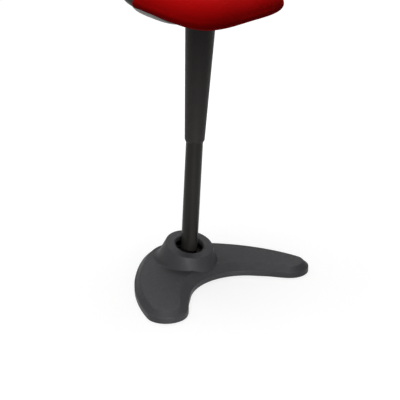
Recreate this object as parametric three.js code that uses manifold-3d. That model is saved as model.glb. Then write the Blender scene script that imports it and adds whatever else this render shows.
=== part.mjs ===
// Perch stool: a red seat on a gas column that leans and rocks in a V-shaped base.
// Millimetres, Z up. The origin is on the floor under the collar's ring, and the front is -Y.
import * as THREE from 'three';
import { mergeVertices } from 'three/addons/utils/BufferGeometryUtils.js';
import Module from 'manifold-3d';

const wasm = await Module();
wasm.setup();

// Clearances shared by all pieces
const gap = 0.3;
const slideGap = 0.6;
const overrun = 2;
const weld = 0.0001;

// Facets
const roundSteps = 44;
const innerSteps = 26;
const smallSteps = 16;
const tinySteps = 10;
const arcSteps = 6;

// Base outline, half of it, seen from above: x across, reach forward of the collar's centre
const rearReach = 134;
const rearPull = 60;
const flankX = 156.7;
const flankReach = -22.4;
const flankAngle = radians(49.8);
const flankRearPull = 26;
const flankFrontPull = 82;
const tipSideX = 247.2;
const tipSideReach = 156;
const tipSideAngle = radians(77.2);
const tipSideRearPull = 46.8;
const tipSideFrontPull = 28;
const tipFrontX = 195.7;
const tipFrontReach = 214.2;
const tipFrontPull = 35;
const tipInnerPull = 28;
const notchReach = 91;
const notchRadius = 141;
const notchAngle = radians(45);
const armInnerLength = 37;
const outlineSteps = 7;

// Base cover: a moulded shell with a collar whose top ring tips forward
const coverWall = 3.5;
const coverRim = 1;
const wallTop = 13.5;
const edgeRound = 3;
const bevelInset = 14;
const bevelTop = 27.7;
const slabTop = 28.5;
const creaseInset = 17;
const notchBevelWiden = 8;
const notchBevelFade = 40;
const apronWiden = 9;
const apronHalfWidth = 90;
const ringHeight = 70.6;
const ringTilt = radians(15.45);
const ringRadius = 61.8;
const ringRound = 2.2;
const mouthRadius = 38.4;
const footHalfWidth = 77;
const footHalfDepth = 87;
const footBack = 14;
const footSpread = 7;
const footDepth = 14;
const ringWall = 4;
const skirtWall = 3.4;
const skirtDepth = 10;
const linerWall = 2.6;
const linerDepth = 9;
const linerDrop = 1.5;

// Sole and ballast
const matThickness = 4;
const matInset = 4.2;
const plateThickness = 8;
const plateInset = 5.5;

// Cover screws and the bosses that they bite in
const bossRadius = 6;
const coverScrewRadius = 2;
const coverScrewHead = 4.2;
const coverScrewHeadHeight = 3;
const coverScrewBite = 9;
const armBossX = 196;
const armBossReach = 168;
const sideBossX = 142;
const sideBossReach = 28;
const rearBossX = 74;
const rearBossReach = -66;

// Column lean and the rubber joint at its foot
const columnLean = radians(4.51);
const pivotDrop = 38;
const ballRadius = 17;
const ballFlat = 11;
const rubberRadius = 26;
const rubberTopAngle = radians(60);
const rubberLowAngle = radians(112);
const cupRadius = 38;
const cupFloor = 4;
const retainerHeight = 16;
const retainerRound = 4;
const boltCircle = 32;
const boltRadius = 2.5;
const boltHead = 4.2;
const boltHeadHeight = 3.7;
const boltEnd = 1.7;
const boltCount = 4;
const stemRadius = 12;
const footFlangeLow = -15;
const footFlangeHigh = -7;

// Stand tube and gas spring: places along the column from the ring's centre
const tubeRadius = 21.2;
const tubeWall = 2.6;
const tubeLow = -13;
const tubeHigh = 335;
const plugLow = 2;
const plugHigh = 10;
const rodRadius = 5;
const rodLow = -4;
const rodShoulder = 8;
const rodShoulderHeight = 3.4;
const clipRadius = 8.5;
const clipThickness = 2.2;
const raceThickness = 2;
const raceInner = 5.8;
const raceOuter = 11.5;
const ballBearing = 1.8;
const ballPitch = 8.6;
const ballCount = 8;
const cageThickness = 1.6;
const cageInner = 6.4;
const cageOuter = 10.8;
const bushLow = 255;
const bushLip = 2.7;
const cylinderRadius = 14;
const cylinderWall = 2;
const cylinderLow = 240;
const endCapHeight = 12;
const pistonHeight = 11;
const pistonGap = 0.5;
const coneLow = 566;
const coneHigh = 590;
const coneTopRadius = 13.4;
const cylinderHigh = 592;
const cylinderTopRadius = 12.9;
const cylinderCrown = 22;
const pinRadius = 3.2;
const pinTipRadius = 2;
const pinTipHeight = 1.2;
const pinStroke = 1.9;

// Sleeve over the column
const sleeveLow = 285;
const sleeveHigh = 588;
const sleeveLowRadius = 24.6;
const sleeveHighRadius = 36.1;
const sleeveChamferHeight = 5;
const sleeveChamfer = 2.2;
const sleeveWall = 2.4;
const sleeveFlange = 4;

// Seat frame: its rim plane sits on the column, yawed and tipped forward
const seatYaw = radians(13.75);
const seatRise = 639.1;
const seatTilt = radians(6.4);
const seatForward = 9;
const seatHalfWidth = 182.5;
const seatHalfDepth = 144;
const seatCornerPower = 3.8;
const hullDepth = 25;
const hullInset = 72;
const seatSteps = 48;
const crownHeight = 46;

// Grey pan under the cushion
const panHalfWidth = 177.7;
const panHalfDepth = 92.6;
const panBack = 14;
const panCornerPower = 3.2;
const panDrop = 6.9;
const panDepth = 25;
const panInset = 53.3;
const panWall = 3.5;
const panBossRadius = 6;

// Seat board, bracket and lever
const boardHalfWidth = 108;
const boardHalfDepth = 70;
const boardCorner = 26;
const boardThickness = 8;
const bracketHalfWidth = 65;
const bracketHalfDepth = 50;
const bracketBack = 10;
const bracketCorner = 12;
const bracketThickness = 3;
const hubRadius = 20;
const hubLow = 562;
const hubChamber = 9;
const hubChamberHigh = 602;
const seatScrewX = 50;
const seatScrewSpread = 38;
const seatScrewRadius = 2.5;
const seatScrewHead = 4.5;
const seatScrewHeadHeight = 2.7;
const seatScrewBite = 6;
const leverPivotX = 14;
const leverPivotRise = 597;
const leverPinRadius = 2;
const leverPinHalf = 13.5;
const leverThickness = 4;
const leverWidth = 10;
const leverInnerEnd = -6;
const leverBossRadius = 4.3;
const leverKneeX = 39;
const leverDropX = 60;
const leverDrop = 10;
const leverReach = 150;
const gripStart = 118;
const gripEnd = 166;
const gripWidth = 26;
const gripThickness = 9;
const gripCorner = 9;

// Black band round the rear of the cushion
const bandThickness = 8;
const bandLow = -16;
const bandHigh = 20;
const bandHalfAngle = radians(69.5);
const bandSteps = 30;

const paint = {
  cover: { color: 0x474749, roughness: 0.62, metalness: 0 },
  rubber: { color: 0x161616, roughness: 0.85, metalness: 0 },
  steel: { color: 0x8d8f92, roughness: 0.38, metalness: 0.9 },
  castIron: { color: 0x3a3b3d, roughness: 0.6, metalness: 0.7 },
  blackSteel: { color: 0x2b2a29, roughness: 0.42, metalness: 0.35 },
  zinc: { color: 0xa3a6a8, roughness: 0.35, metalness: 0.9 },
  sleeve: { color: 0x2d2b2a, roughness: 0.5, metalness: 0 },
  nylon: { color: 0xcfcabb, roughness: 0.55, metalness: 0 },
  fabric: { color: 0xa50a0a, roughness: 0.9, metalness: 0 },
  pan: { color: 0xbdb6b6, roughness: 0.5, metalness: 0 },
  band: { color: 0x2a2826, roughness: 0.6, metalness: 0 },
  wood: { color: 0xb08d5b, roughness: 0.7, metalness: 0 },
};

function radians(degrees) {
  return THREE.MathUtils.degToRad(degrees);
}

// Indexed triangles with no doubled points, no flat triangles and all faces outward
function cleanSolid(geometry) {
  const bare = new THREE.BufferGeometry();
  bare.setAttribute('position', geometry.getAttribute('position').clone());
  if (geometry.index) bare.setIndex(geometry.index.clone());
  const merged = mergeVertices(bare, weld);
  const kept = [];
  const index = merged.index.array;
  for (let i = 0; i < index.length; i += 3) {
    const [a, b, c] = [index[i], index[i + 1], index[i + 2]];
    if (a !== b && b !== c && c !== a) kept.push(a, b, c);
  }
  if (signedVolume(merged.attributes.position, kept) < 0) kept.reverse();
  merged.setIndex(kept);
  return merged;
}

function signedVolume(position, index) {
  const [a, b, c] = [new THREE.Vector3(), new THREE.Vector3(), new THREE.Vector3()];
  let sum = 0;
  for (let i = 0; i < index.length; i += 3) {
    a.fromBufferAttribute(position, index[i]);
    b.fromBufferAttribute(position, index[i + 1]);
    c.fromBufferAttribute(position, index[i + 2]);
    sum += a.dot(b.cross(c));
  }
  return sum;
}

function toManifold(geometry) {
  const clean = cleanSolid(geometry);
  const vertProperties = new Float32Array(clean.attributes.position.array);
  const triVerts = new Uint32Array(clean.index.array);
  return new wasm.Manifold(new wasm.Mesh({ numProp: 3, vertProperties, triVerts }));
}

function toGeometry(solid) {
  const mesh = solid.getMesh();
  const geometry = new THREE.BufferGeometry();
  const points = new Float32Array(mesh.numVert * 3);
  for (let i = 0; i < mesh.numVert; i += 1) {
    for (let k = 0; k < 3; k += 1) points[i * 3 + k] = mesh.vertProperties[i * mesh.numProp + k];
  }
  geometry.setAttribute('position', new THREE.BufferAttribute(points, 3));
  geometry.setIndex(Array.from(mesh.triVerts));
  return cleanSolid(geometry);
}

function join(...geometries) {
  return toGeometry(geometries.map(toManifold).reduce((sum, next) => sum.add(next)));
}

function cut(body, ...tools) {
  return toGeometry(tools.map(toManifold).reduce((rest, tool) => rest.subtract(tool), toManifold(body)));
}

// Round solid about Z from a closed profile of [radius, height] points
function lathe(profile, steps = innerSteps) {
  const points = profile.map(([radius, height]) => new THREE.Vector2(radius, height));
  const [first, last] = [points[0], points[points.length - 1]];
  if (first.x > 0 || last.x > 0) points.push(first.clone());
  return new THREE.LatheGeometry(points, steps).rotateX(Math.PI / 2);
}

function disc(radius, low, high, steps = smallSteps) {
  return lathe([[0, low], [radius, low], [radius, high], [0, high]], steps);
}

function washer(inner, outer, low, high, steps = innerSteps) {
  return lathe([[inner, low], [outer, low], [outer, high], [inner, high]], steps);
}

// Points on a circle about [0, centre], by the angle from the top
function sphereArc(radius, centre, from, to) {
  const points = [];
  for (let i = 0; i <= arcSteps; i += 1) {
    const angle = from + ((to - from) * i) / arcSteps;
    points.push([radius * Math.sin(angle), centre + radius * Math.cos(angle)]);
  }
  return points;
}

// Solid through rings of equal count, closed with flat ends
function loft(rings, contour = rings[0].map((p) => new THREE.Vector2(p.x, p.y))) {
  const count = rings[0].length;
  const points = rings.flat().flatMap((p) => [p.x, p.y, p.z]);
  const index = [];
  for (let k = 0; k + 1 < rings.length; k += 1) {
    for (let i = 0; i < count; i += 1) {
      const next = (i + 1) % count;
      const [a, b] = [k * count + i, k * count + next];
      index.push(a, b, b + count, a, b + count, a + count);
    }
  }
  const top = (rings.length - 1) * count;
  for (const [a, b, c] of THREE.ShapeUtils.triangulateShape(contour, [])) {
    index.push(c, b, a, top + a, top + b, top + c);
  }
  const geometry = new THREE.BufferGeometry();
  geometry.setAttribute('position', new THREE.Float32BufferAttribute(points, 3));
  geometry.setIndex(index);
  return geometry;
}

function slabOf(shape, low, high) {
  const settings = { depth: high - low, bevelEnabled: false, curveSegments: arcSteps };
  return new THREE.ExtrudeGeometry(shape, settings).translate(0, 0, low);
}

function roundedRectangle(halfWidth, halfDepth, corner, back = 0) {
  const shape = new THREE.Shape();
  const [left, right, front, rear] = [-halfWidth, halfWidth, back - halfDepth, back + halfDepth];
  shape.absarc(right - corner, front + corner, corner, -Math.PI / 2, 0);
  shape.absarc(right - corner, rear - corner, corner, 0, Math.PI / 2);
  shape.absarc(left + corner, rear - corner, corner, Math.PI / 2, Math.PI);
  shape.absarc(left + corner, front + corner, corner, Math.PI, Math.PI * 1.5);
  return shape;
}

function mesh(name, geometry, look, parent) {
  const solid = cleanSolid(geometry).toNonIndexed();
  solid.computeVertexNormals();
  const piece = new THREE.Mesh(solid, new THREE.MeshStandardMaterial(paint[look]));
  piece.name = name;
  parent.add(piece);
  return piece;
}

// Base outline as a closed loop of points, front at -Y
function baseOutline() {
  const half = new THREE.Path();
  const along = (angle, length) => [Math.cos(angle) * length, Math.sin(angle) * length];
  const [fx, fy] = along(flankAngle, flankRearPull);
  const [gx, gy] = along(flankAngle, flankFrontPull);
  const [sx, sy] = along(tipSideAngle, tipSideRearPull);
  const [tx, ty] = along(tipSideAngle, tipSideFrontPull);
  const [nx, ny] = along(notchAngle, notchRadius);
  const [ax, ay] = along(notchAngle, armInnerLength);
  const [ix, iy] = along(notchAngle, tipInnerPull);
  const [endX, endReach] = [ny, notchReach + notchRadius - nx];
  half.moveTo(0, -rearReach);
  half.bezierCurveTo(rearPull, -rearReach, flankX - fx, flankReach - fy, flankX, flankReach);
  half.bezierCurveTo(flankX + gx, flankReach + gy, tipSideX - sx, tipSideReach - sy, tipSideX, tipSideReach);
  half.bezierCurveTo(
    tipSideX + tx, tipSideReach + ty, tipFrontX + tipFrontPull, tipFrontReach, tipFrontX, tipFrontReach);
  half.bezierCurveTo(
    tipFrontX - tipFrontPull, tipFrontReach, endX + ax + ix, endReach + ay + iy, endX + ax, endReach + ay);
  half.lineTo(endX, endReach);
  half.absarc(0, notchReach + notchRadius, notchRadius, -Math.PI / 2 + notchAngle, -Math.PI / 2, true);
  const right = half.getPoints(outlineSteps).map((p) => new THREE.Vector2(p.x, -p.y));
  const left = right.slice(1, -1).reverse().map((p) => new THREE.Vector2(-p.x, p.y));
  return [...right, ...left].reverse();
}

// How much further in the bevel runs along the notch, and in the apron under the collar
function bevelWiden(p) {
  const fromCentre = Math.hypot(p.x, p.y + notchReach + notchRadius);
  const notchShare = THREE.MathUtils.clamp(1 - (fromCentre - notchRadius) / notchBevelFade, 0, 1);
  const apronShare = notchShare * Math.max(0, 1 - (p.x / apronHalfWidth) ** 2) ** 2;
  return notchBevelWiden * notchShare + apronWiden * apronShare;
}

// The outline drawn in by a distance, as a ring at one height
function insetRing(loop, inset, height, widenShare = 0) {
  return loop.map((p, i) => {
    const before = loop[(i + loop.length - 1) % loop.length];
    const after = loop[(i + 1) % loop.length];
    const inward = new THREE.Vector2(before.y - after.y, after.x - before.x).normalize();
    const reach = inset + bevelWiden(p) * widenShare;
    return new THREE.Vector3(p.x + inward.x * reach, p.y + inward.y * reach, height);
  });
}

function baseSlab(loop, steps) {
  return loft(steps.map(([inset, height, widenShare]) => insetRing(loop, inset, height, widenShare)));
}

// Collar rings run from a level foot to the tipped ring; the flare is concave at the rear only
function collarRing(grow, top, lift, rise, flare) {
  const points = [];
  for (let i = 0; i < roundSteps; i += 1) {
    const angle = (i / roundSteps) * Math.PI * 2;
    const [x, y] = [Math.cos(angle), Math.sin(angle)];
    const [footX, footY] = [x * (footHalfWidth + grow), y * (footHalfDepth + grow) + footBack];
    const rearShare = (1 + y) / 2;
    const inward = rise + (flare - rise) * rearShare;
    const topY = y * top * Math.cos(ringTilt) + lift * Math.sin(ringTilt);
    const topZ = ringHeight + y * top * Math.sin(ringTilt) - lift * Math.cos(ringTilt);
    const footZ = slabTop - lift;
    points.push(new THREE.Vector3(
      footX + (x * top - footX) * inward,
      footY + (topY - footY) * inward,
      footZ + (topZ - footZ) * rise,
    ));
  }
  return points;
}

const collarFlareShares = [[0, 0], [0.08, 0.13], [0.25, 0.31], [0.5, 0.54], [0.75, 0.77], [1, 1]];

function collarBody(grow, top, lift, low) {
  const spread = collarRing(grow + footSpread, top, lift, 0, 0);
  const lowRing = spread.map((p) => new THREE.Vector3(p.x, p.y, low));
  const flared = collarFlareShares.map(([rise, flare]) => collarRing(grow, top, lift, rise, flare));
  return [lowRing, ...flared];
}

function onRing(geometry) {
  return geometry.rotateX(ringTilt).translate(0, 0, ringHeight);
}

const plateLow = matThickness + gap;
const plateHigh = plateLow + plateThickness;
const bossLow = plateHigh + gap;
const bossPlaces = [
  [armBossX, armBossReach],
  [sideBossX, sideBossReach],
  [rearBossX, rearBossReach],
].flatMap(([x, reach]) => [[x, -reach], [-x, -reach]]);
const pivotY = pivotDrop * Math.sin(columnLean);
const pivotZ = ringHeight - pivotDrop * Math.cos(columnLean);
const cupLow = plateHigh + gap;
const retainerHigh = pivotZ + retainerHeight;
const boltPlaces = Array.from({ length: boltCount }, (_, i) => {
  const angle = ((i + 0.5) / boltCount) * Math.PI * 2;
  return [Math.cos(angle) * boltCircle, pivotY + Math.sin(angle) * boltCircle];
});

function baseCover(loop) {
  const outerRings = [
    [0, coverRim],
    [0, wallTop],
    [edgeRound * 0.3, wallTop + edgeRound * 0.7],
    [edgeRound, wallTop + edgeRound],
    [bevelInset, bevelTop, 1],
    [creaseInset, slabTop, 1],
  ];
  const innerRings = [
    [coverWall, coverRim - overrun],
    [coverWall, wallTop - edgeRound * 0.3],
    [edgeRound + coverWall, wallTop + edgeRound - coverWall],
    [creaseInset, slabTop - coverWall, 1],
  ];
  const collarRings = collarBody(0, ringRadius, 0, footDepth);
  const brow = collarRing(0, ringRadius - ringRound, 0, 1, 1);
  const browTop = brow.map((p) => p.clone().add(ringNormal().multiplyScalar(ringRound * 0.6)));
  const outer = join(baseSlab(loop, outerRings), loft([...collarRings, browTop]));
  const hollow = join(
    baseSlab(loop, innerRings),
    loft(collarBody(-ringWall - footSpread, ringRadius - ringWall, ringWall, slabTop - coverWall - ringWall)),
  );
  const skirt = onRing(disc(mouthRadius + skirtWall, -skirtDepth, -ringWall / 2, roundSteps));
  const bosses = bossPlaces.map(([x, y]) => disc(bossRadius, bossLow, slabTop - coverWall / 2).translate(x, y, 0));
  const bores = bossPlaces.map(([x, y]) => {
    const bore = disc(coverScrewRadius + gap, bossLow - overrun, bossLow + coverScrewBite + gap, tinySteps);
    return bore.translate(x, y, 0);
  });
  const mouth = onRing(disc(mouthRadius, -skirtDepth - overrun, ringRound + overrun, roundSteps));
  return cut(join(cut(outer, hollow), skirt, ...bosses), mouth, ...bores);
}

function ringNormal() {
  return new THREE.Vector3(0, -Math.sin(ringTilt), Math.cos(ringTilt));
}

function addBase(parent) {
  const loop = baseOutline();
  mesh('base_cover', baseCover(loop), 'cover', parent);
  mesh('floor_mat', baseSlab(loop, [[matInset, 0], [matInset, matThickness]]), 'rubber', parent);
  const linerHigh = ringRound * 0.6 - linerDrop;
  const linerInner = mouthRadius - gap - linerWall;
  const liner = washer(linerInner, mouthRadius - gap, linerHigh - linerDepth, linerHigh, roundSteps);
  mesh('collar_liner', onRing(liner), 'rubber', parent);

  const screwHoles = bossPlaces.flatMap(([x, y]) => [
    disc(coverScrewRadius + gap, plateLow - overrun, plateHigh + overrun, tinySteps).translate(x, y, 0),
    disc(coverScrewHead + gap, plateLow - overrun, plateLow + coverScrewHeadHeight + gap, tinySteps).translate(x, y, 0),
  ]);
  const boltHoles = boltPlaces.map(([x, y]) => {
    return disc(boltRadius + gap, plateLow - overrun, plateHigh + overrun, tinySteps).translate(x, y, 0);
  });
  const plate = baseSlab(loop, [[plateInset, plateLow], [plateInset, plateHigh]]);
  mesh('ballast_plate', cut(plate, ...screwHoles, ...boltHoles), 'steel', parent);

  bossPlaces.forEach(([x, y], i) => {
    const screw = lathe([
      [0, plateLow],
      [coverScrewHead, plateLow],
      [coverScrewHead, plateLow + coverScrewHeadHeight],
      [coverScrewRadius, plateLow + coverScrewHeadHeight],
      [coverScrewRadius, bossLow + coverScrewBite],
      [0, bossLow + coverScrewBite],
    ], tinySteps);
    mesh(`cover_screw_${i + 1}`, screw.translate(x, y, 0), 'zinc', parent);
  });
  addJointSocket(parent);
}

function addJointSocket(parent) {
  const socket = rubberRadius + gap;
  const floorAngle = Math.PI - Math.acos((pivotZ - cupLow - cupFloor) / socket);
  const middle = pivotZ + gap;
  const middleAngle = Math.acos(gap / socket);
  const boreFor = ([x, y]) => {
    return disc(boltRadius + gap, cupLow - overrun, retainerHigh + overrun, tinySteps).translate(x, y, 0);
  };
  const pocketFor = ([x, y]) => {
    const low = retainerHigh - boltHeadHeight - gap * 2;
    return disc(boltHead + gap, low, retainerHigh + overrun, tinySteps).translate(x, y, 0);
  };
  const cup = lathe([
    [0, cupLow],
    [cupRadius, cupLow],
    [cupRadius, middle],
    ...sphereArc(socket, pivotZ, middleAngle, floorAngle),
    [0, cupLow + cupFloor],
  ]).translate(0, pivotY, 0);
  mesh('joint_cup', cut(cup, ...boltPlaces.map(boreFor)), 'castIron', parent);

  const topAngle = Math.acos(retainerHeight / socket);
  const ringLowAngle = Math.acos((gap * 2) / socket);
  const retainer = lathe([
    [cupRadius, middle + gap],
    [cupRadius, retainerHigh - retainerRound],
    [cupRadius - retainerRound / 2, retainerHigh],
    ...sphereArc(socket, pivotZ, topAngle, ringLowAngle),
  ]).translate(0, pivotY, 0);
  mesh('joint_retainer', cut(retainer, ...boltPlaces.flatMap((p) => [boreFor(p), pocketFor(p)])), 'castIron', parent);

  boltPlaces.forEach(([x, y], i) => {
    const headLow = retainerHigh - boltHeadHeight - gap;
    const bolt = lathe([
      [0, plateLow + boltEnd],
      [boltRadius, plateLow + boltEnd],
      [boltRadius, headLow],
      [boltHead, headLow],
      [boltHead, retainerHigh - gap],
      [0, retainerHigh - gap],
    ], tinySteps);
    mesh(`joint_bolt_${i + 1}`, bolt.translate(x, y, 0), 'zinc', parent);
  });
}

// Everything from here is placed along the leaning column
function addColumn(column) {
  const tubeInner = tubeRadius - tubeWall;
  const fitRadius = tubeInner - gap;
  const rubberInner = ballRadius + gap;
  const rubber = lathe([
    ...sphereArc(rubberRadius, -pivotDrop, rubberLowAngle, rubberTopAngle),
    ...sphereArc(rubberInner, -pivotDrop, rubberTopAngle, rubberLowAngle),
  ]);
  mesh('joint_rubber', rubber, 'rubber', column);

  const neckAngle = Math.asin(stemRadius / ballRadius);
  const flatAngle = Math.PI - Math.acos(ballFlat / ballRadius);
  const foot = lathe([
    [0, -pivotDrop - ballFlat],
    ...sphereArc(ballRadius, -pivotDrop, flatAngle, neckAngle),
    [stemRadius, footFlangeLow],
    [fitRadius, footFlangeLow],
    [fitRadius, footFlangeHigh],
    [0, footFlangeHigh],
  ]);
  mesh('pivot_foot', foot, 'steel', column);
  mesh('stand_tube', washer(tubeInner, tubeRadius, tubeLow, tubeHigh, roundSteps), 'blackSteel', column);
  mesh('rod_plug', washer(rodRadius + gap, fitRadius, plugLow, plugHigh), 'steel', column);

  const lowerRace = plugHigh + gap;
  mesh('race_lower', washer(raceInner, raceOuter, lowerRace, lowerRace + raceThickness), 'steel', column);
  const bush = lathe([
    [cylinderRadius + gap, bushLow],
    [fitRadius, bushLow],
    [fitRadius, tubeHigh + gap],
    [tubeRadius, tubeHigh + gap],
    [tubeRadius, tubeHigh + gap + bushLip],
    [cylinderRadius + gap, tubeHigh + gap + bushLip],
  ]);
  mesh('guide_bush', bush, 'nylon', column);
  addRod(column, lowerRace + raceThickness + gap);
}

function addRod(column, ballLow) {
  const ballMiddle = ballLow + ballBearing;
  const upperRace = ballMiddle + ballBearing + gap;
  const shoulderLow = upperRace + raceThickness + gap;
  const balls = Array.from({ length: ballCount }, (_, i) => {
    const angle = (i / ballCount) * Math.PI * 2;
    const ball = new THREE.SphereGeometry(ballBearing, arcSteps, arcSteps / 2 + 2);
    return ball.rotateX(Math.PI / 2).translate(Math.cos(angle) * ballPitch, Math.sin(angle) * ballPitch, ballMiddle);
  });
  const cage = washer(cageInner, cageOuter, ballMiddle - cageThickness / 2, ballMiddle + cageThickness / 2, smallSteps);
  mesh('ball_cage', join(cage, ...balls), 'zinc', column);
  mesh('race_upper', washer(raceInner, raceOuter, upperRace, upperRace + raceThickness), 'steel', column);

  const pistonLow = cylinderLow + endCapHeight + pistonGap;
  const rodHigh = pistonLow + pistonHeight + gap;
  const rod = lathe([
    [0, rodLow],
    [rodRadius, rodLow],
    [rodRadius, shoulderLow],
    [rodShoulder, shoulderLow],
    [rodShoulder, shoulderLow + rodShoulderHeight],
    [rodRadius, shoulderLow + rodShoulderHeight],
    [rodRadius, rodHigh],
    [0, rodHigh],
  ], smallSteps);
  mesh('gas_rod', rod, 'steel', column);
  const clipHigh = plugLow - gap;
  mesh('rod_clip', washer(rodRadius + gap, clipRadius, clipHigh - clipThickness, clipHigh, smallSteps), 'zinc', column);
  const bore = cylinderRadius - cylinderWall;
  mesh('piston', washer(rodRadius + gap, bore - gap, pistonLow, pistonLow + pistonHeight), 'rubber', column);
}

function addLift(column) {
  const bore = cylinderRadius - cylinderWall;
  const crownLow = cylinderHigh - cylinderCrown;
  const cylinder = lathe([
    [bore, cylinderLow],
    [cylinderRadius, cylinderLow],
    [cylinderRadius, coneLow],
    [coneTopRadius, coneHigh],
    [cylinderTopRadius, cylinderHigh],
    [pinRadius + gap, cylinderHigh],
    [pinRadius + gap, crownLow],
    [bore, crownLow],
  ]);
  mesh('gas_cylinder', cylinder, 'blackSteel', column);
  const cap = washer(rodRadius + gap, bore - gap, cylinderLow, cylinderLow + endCapHeight);
  mesh('cylinder_end_cap', cap, 'steel', column);
  mesh('column_sleeve', sleeve(), 'sleeve', column);

  const pinHigh = leverPivotRise - leverThickness / 2 - gap;
  const pinLow = crownLow + pinStroke + gap;
  const pin = lathe([
    [0, pinLow],
    [pinRadius, pinLow],
    [pinRadius, pinHigh - pinTipHeight],
    [pinTipRadius, pinHigh],
    [0, pinHigh],
  ], smallSteps);
  mesh('valve_pin', pin, 'steel', column);
}

function sleeve() {
  const slope = (sleeveHighRadius - sleeveLowRadius) / (sleeveHigh - sleeveLow);
  const shoulder = sleeveLow + sleeveChamferHeight;
  const outerAt = (rise) => sleeveLowRadius + slope * (rise - sleeveLow);
  const mouthInner = tubeRadius + slideGap;
  return lathe([
    [mouthInner, sleeveLow],
    [sleeveLowRadius - sleeveChamfer, sleeveLow],
    [outerAt(shoulder), shoulder],
    [sleeveHighRadius, sleeveHigh],
    [hubRadius + gap, sleeveHigh],
    [hubRadius + gap, sleeveHigh - sleeveFlange],
    [outerAt(sleeveHigh - sleeveFlange) - sleeveWall, sleeveHigh - sleeveFlange],
    [outerAt(shoulder + sleeveChamferHeight) - sleeveWall, shoulder + sleeveChamferHeight],
    [mouthInner, shoulder],
  ], roundSteps);
}

// Rounded-rectangle ring of the seat's plan, drawn in by a distance
function planRing(halfWidth, halfDepth, power, back, inset, height, count = seatSteps) {
  const points = [];
  for (let i = 0; i < count; i += 1) {
    points.push(planPoint(halfWidth, halfDepth, power, back, inset, height, (i / count) * Math.PI * 2));
  }
  return points;
}

function planPoint(halfWidth, halfDepth, power, back, inset, height, angle) {
  const [x, y] = [Math.cos(angle), Math.sin(angle)];
  const reach = (Math.abs(x / halfWidth) ** power + Math.abs(y / halfDepth) ** power) ** (-1 / power);
  return new THREE.Vector3(x * (reach - inset), y * (reach - inset) + back, height);
}

const hullSteps = [90, 68, 48, 30, 14, 0].map(radians);
const crownShares = [
  [0.012, 0.16], [0.045, 0.36], [0.1, 0.56], [0.19, 0.74], [0.32, 0.87], [0.5, 0.95], [0.72, 0.99],
];

// The rings of the upholstered body: a shallow hull below the rim and a crown above it
function cushionRings(grow = 0) {
  const ring = (inset, height) => planRing(
    seatHalfWidth, seatHalfDepth, seatCornerPower, -seatForward, inset - grow, height);
  const lower = hullSteps.map((angle) => {
    return ring(hullInset * (1 - Math.cos(angle)), -hullDepth * Math.sin(angle) - grow * Math.sin(angle));
  });
  const upper = crownShares.map(([inShare, upShare]) => ring(seatHalfDepth * inShare, crownHeight * upShare));
  return [...lower, ...upper];
}

function panDish(shrink) {
  const rings = hullSteps.map((angle) => planRing(
    panHalfWidth, panHalfDepth, panCornerPower, panBack,
    panInset * (1 - Math.cos(angle)) + shrink, -panDrop - panDepth * Math.sin(angle) + shrink));
  const lid = rings[rings.length - 1].map((p) => new THREE.Vector3(p.x, p.y, p.z + shrink + gap));
  return loft(shrink > 0 ? [...rings, lid] : rings);
}

const screwPlaces = [-1, 1].flatMap((side) => [-1, 1].map((end) => {
  return [side * seatScrewX, bracketBack + end * seatScrewSpread];
}));
const panLow = -panDrop - panDepth;
const panFloor = panLow + panWall;
const boardLow = -hullDepth + gap;
const boardHigh = boardLow + boardThickness;
const bracketHigh = panLow - gap;
const bracketLow = bracketHigh - bracketThickness;

function seatBand(grow = 0) {
  const heights = [bandLow - grow, bandLow / 2, 0, bandHigh / 2, bandHigh * 0.85, bandHigh + grow];
  const outerInset = heights.map((height) => (height > bandHigh * 0.9 ? bandThickness * 0.35 : 0));
  const outward = grow > 0 ? overrun : 0;
  const angles = Array.from({ length: bandSteps + 1 }, (_, i) => {
    return Math.PI / 2 - bandHalfAngle + (2 * bandHalfAngle * i) / bandSteps;
  });
  if (grow > 0) {
    angles.unshift(angles[0] - grow / seatHalfDepth);
    angles.push(angles[angles.length - 1] + grow / seatHalfDepth);
  }
  const sections = angles.map((angle) => {
    const at = (inset, height) => planPoint(
      seatHalfWidth, seatHalfDepth, seatCornerPower, -seatForward, inset, height, angle);
    const outer = heights.map((height, k) => at(sideInset(height) + outerInset[k] - outward, height));
    const inner = heights.map((height) => at(sideInset(height) + bandThickness + grow, height));
    return [...outer, ...inner.reverse()];
  });
  const flat = sections[0].map((p) => new THREE.Vector2(Math.hypot(p.x, p.y), p.z));
  return loft(sections, flat);
}

// How far the cushion's side stands in from its rim at a height
function sideInset(height) {
  if (height <= 0) return hullInset * (1 - Math.sqrt(1 - (height / hullDepth) ** 2));
  const steps = [[0, 0], ...crownShares];
  const share = height / crownHeight;
  const k = Math.max(1, steps.findIndex(([, up]) => up >= share));
  const [[inA, upA], [inB, upB]] = [steps[k - 1], steps[k]];
  return seatHalfDepth * (inA + ((inB - inA) * (share - upA)) / (upB - upA));
}

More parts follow.
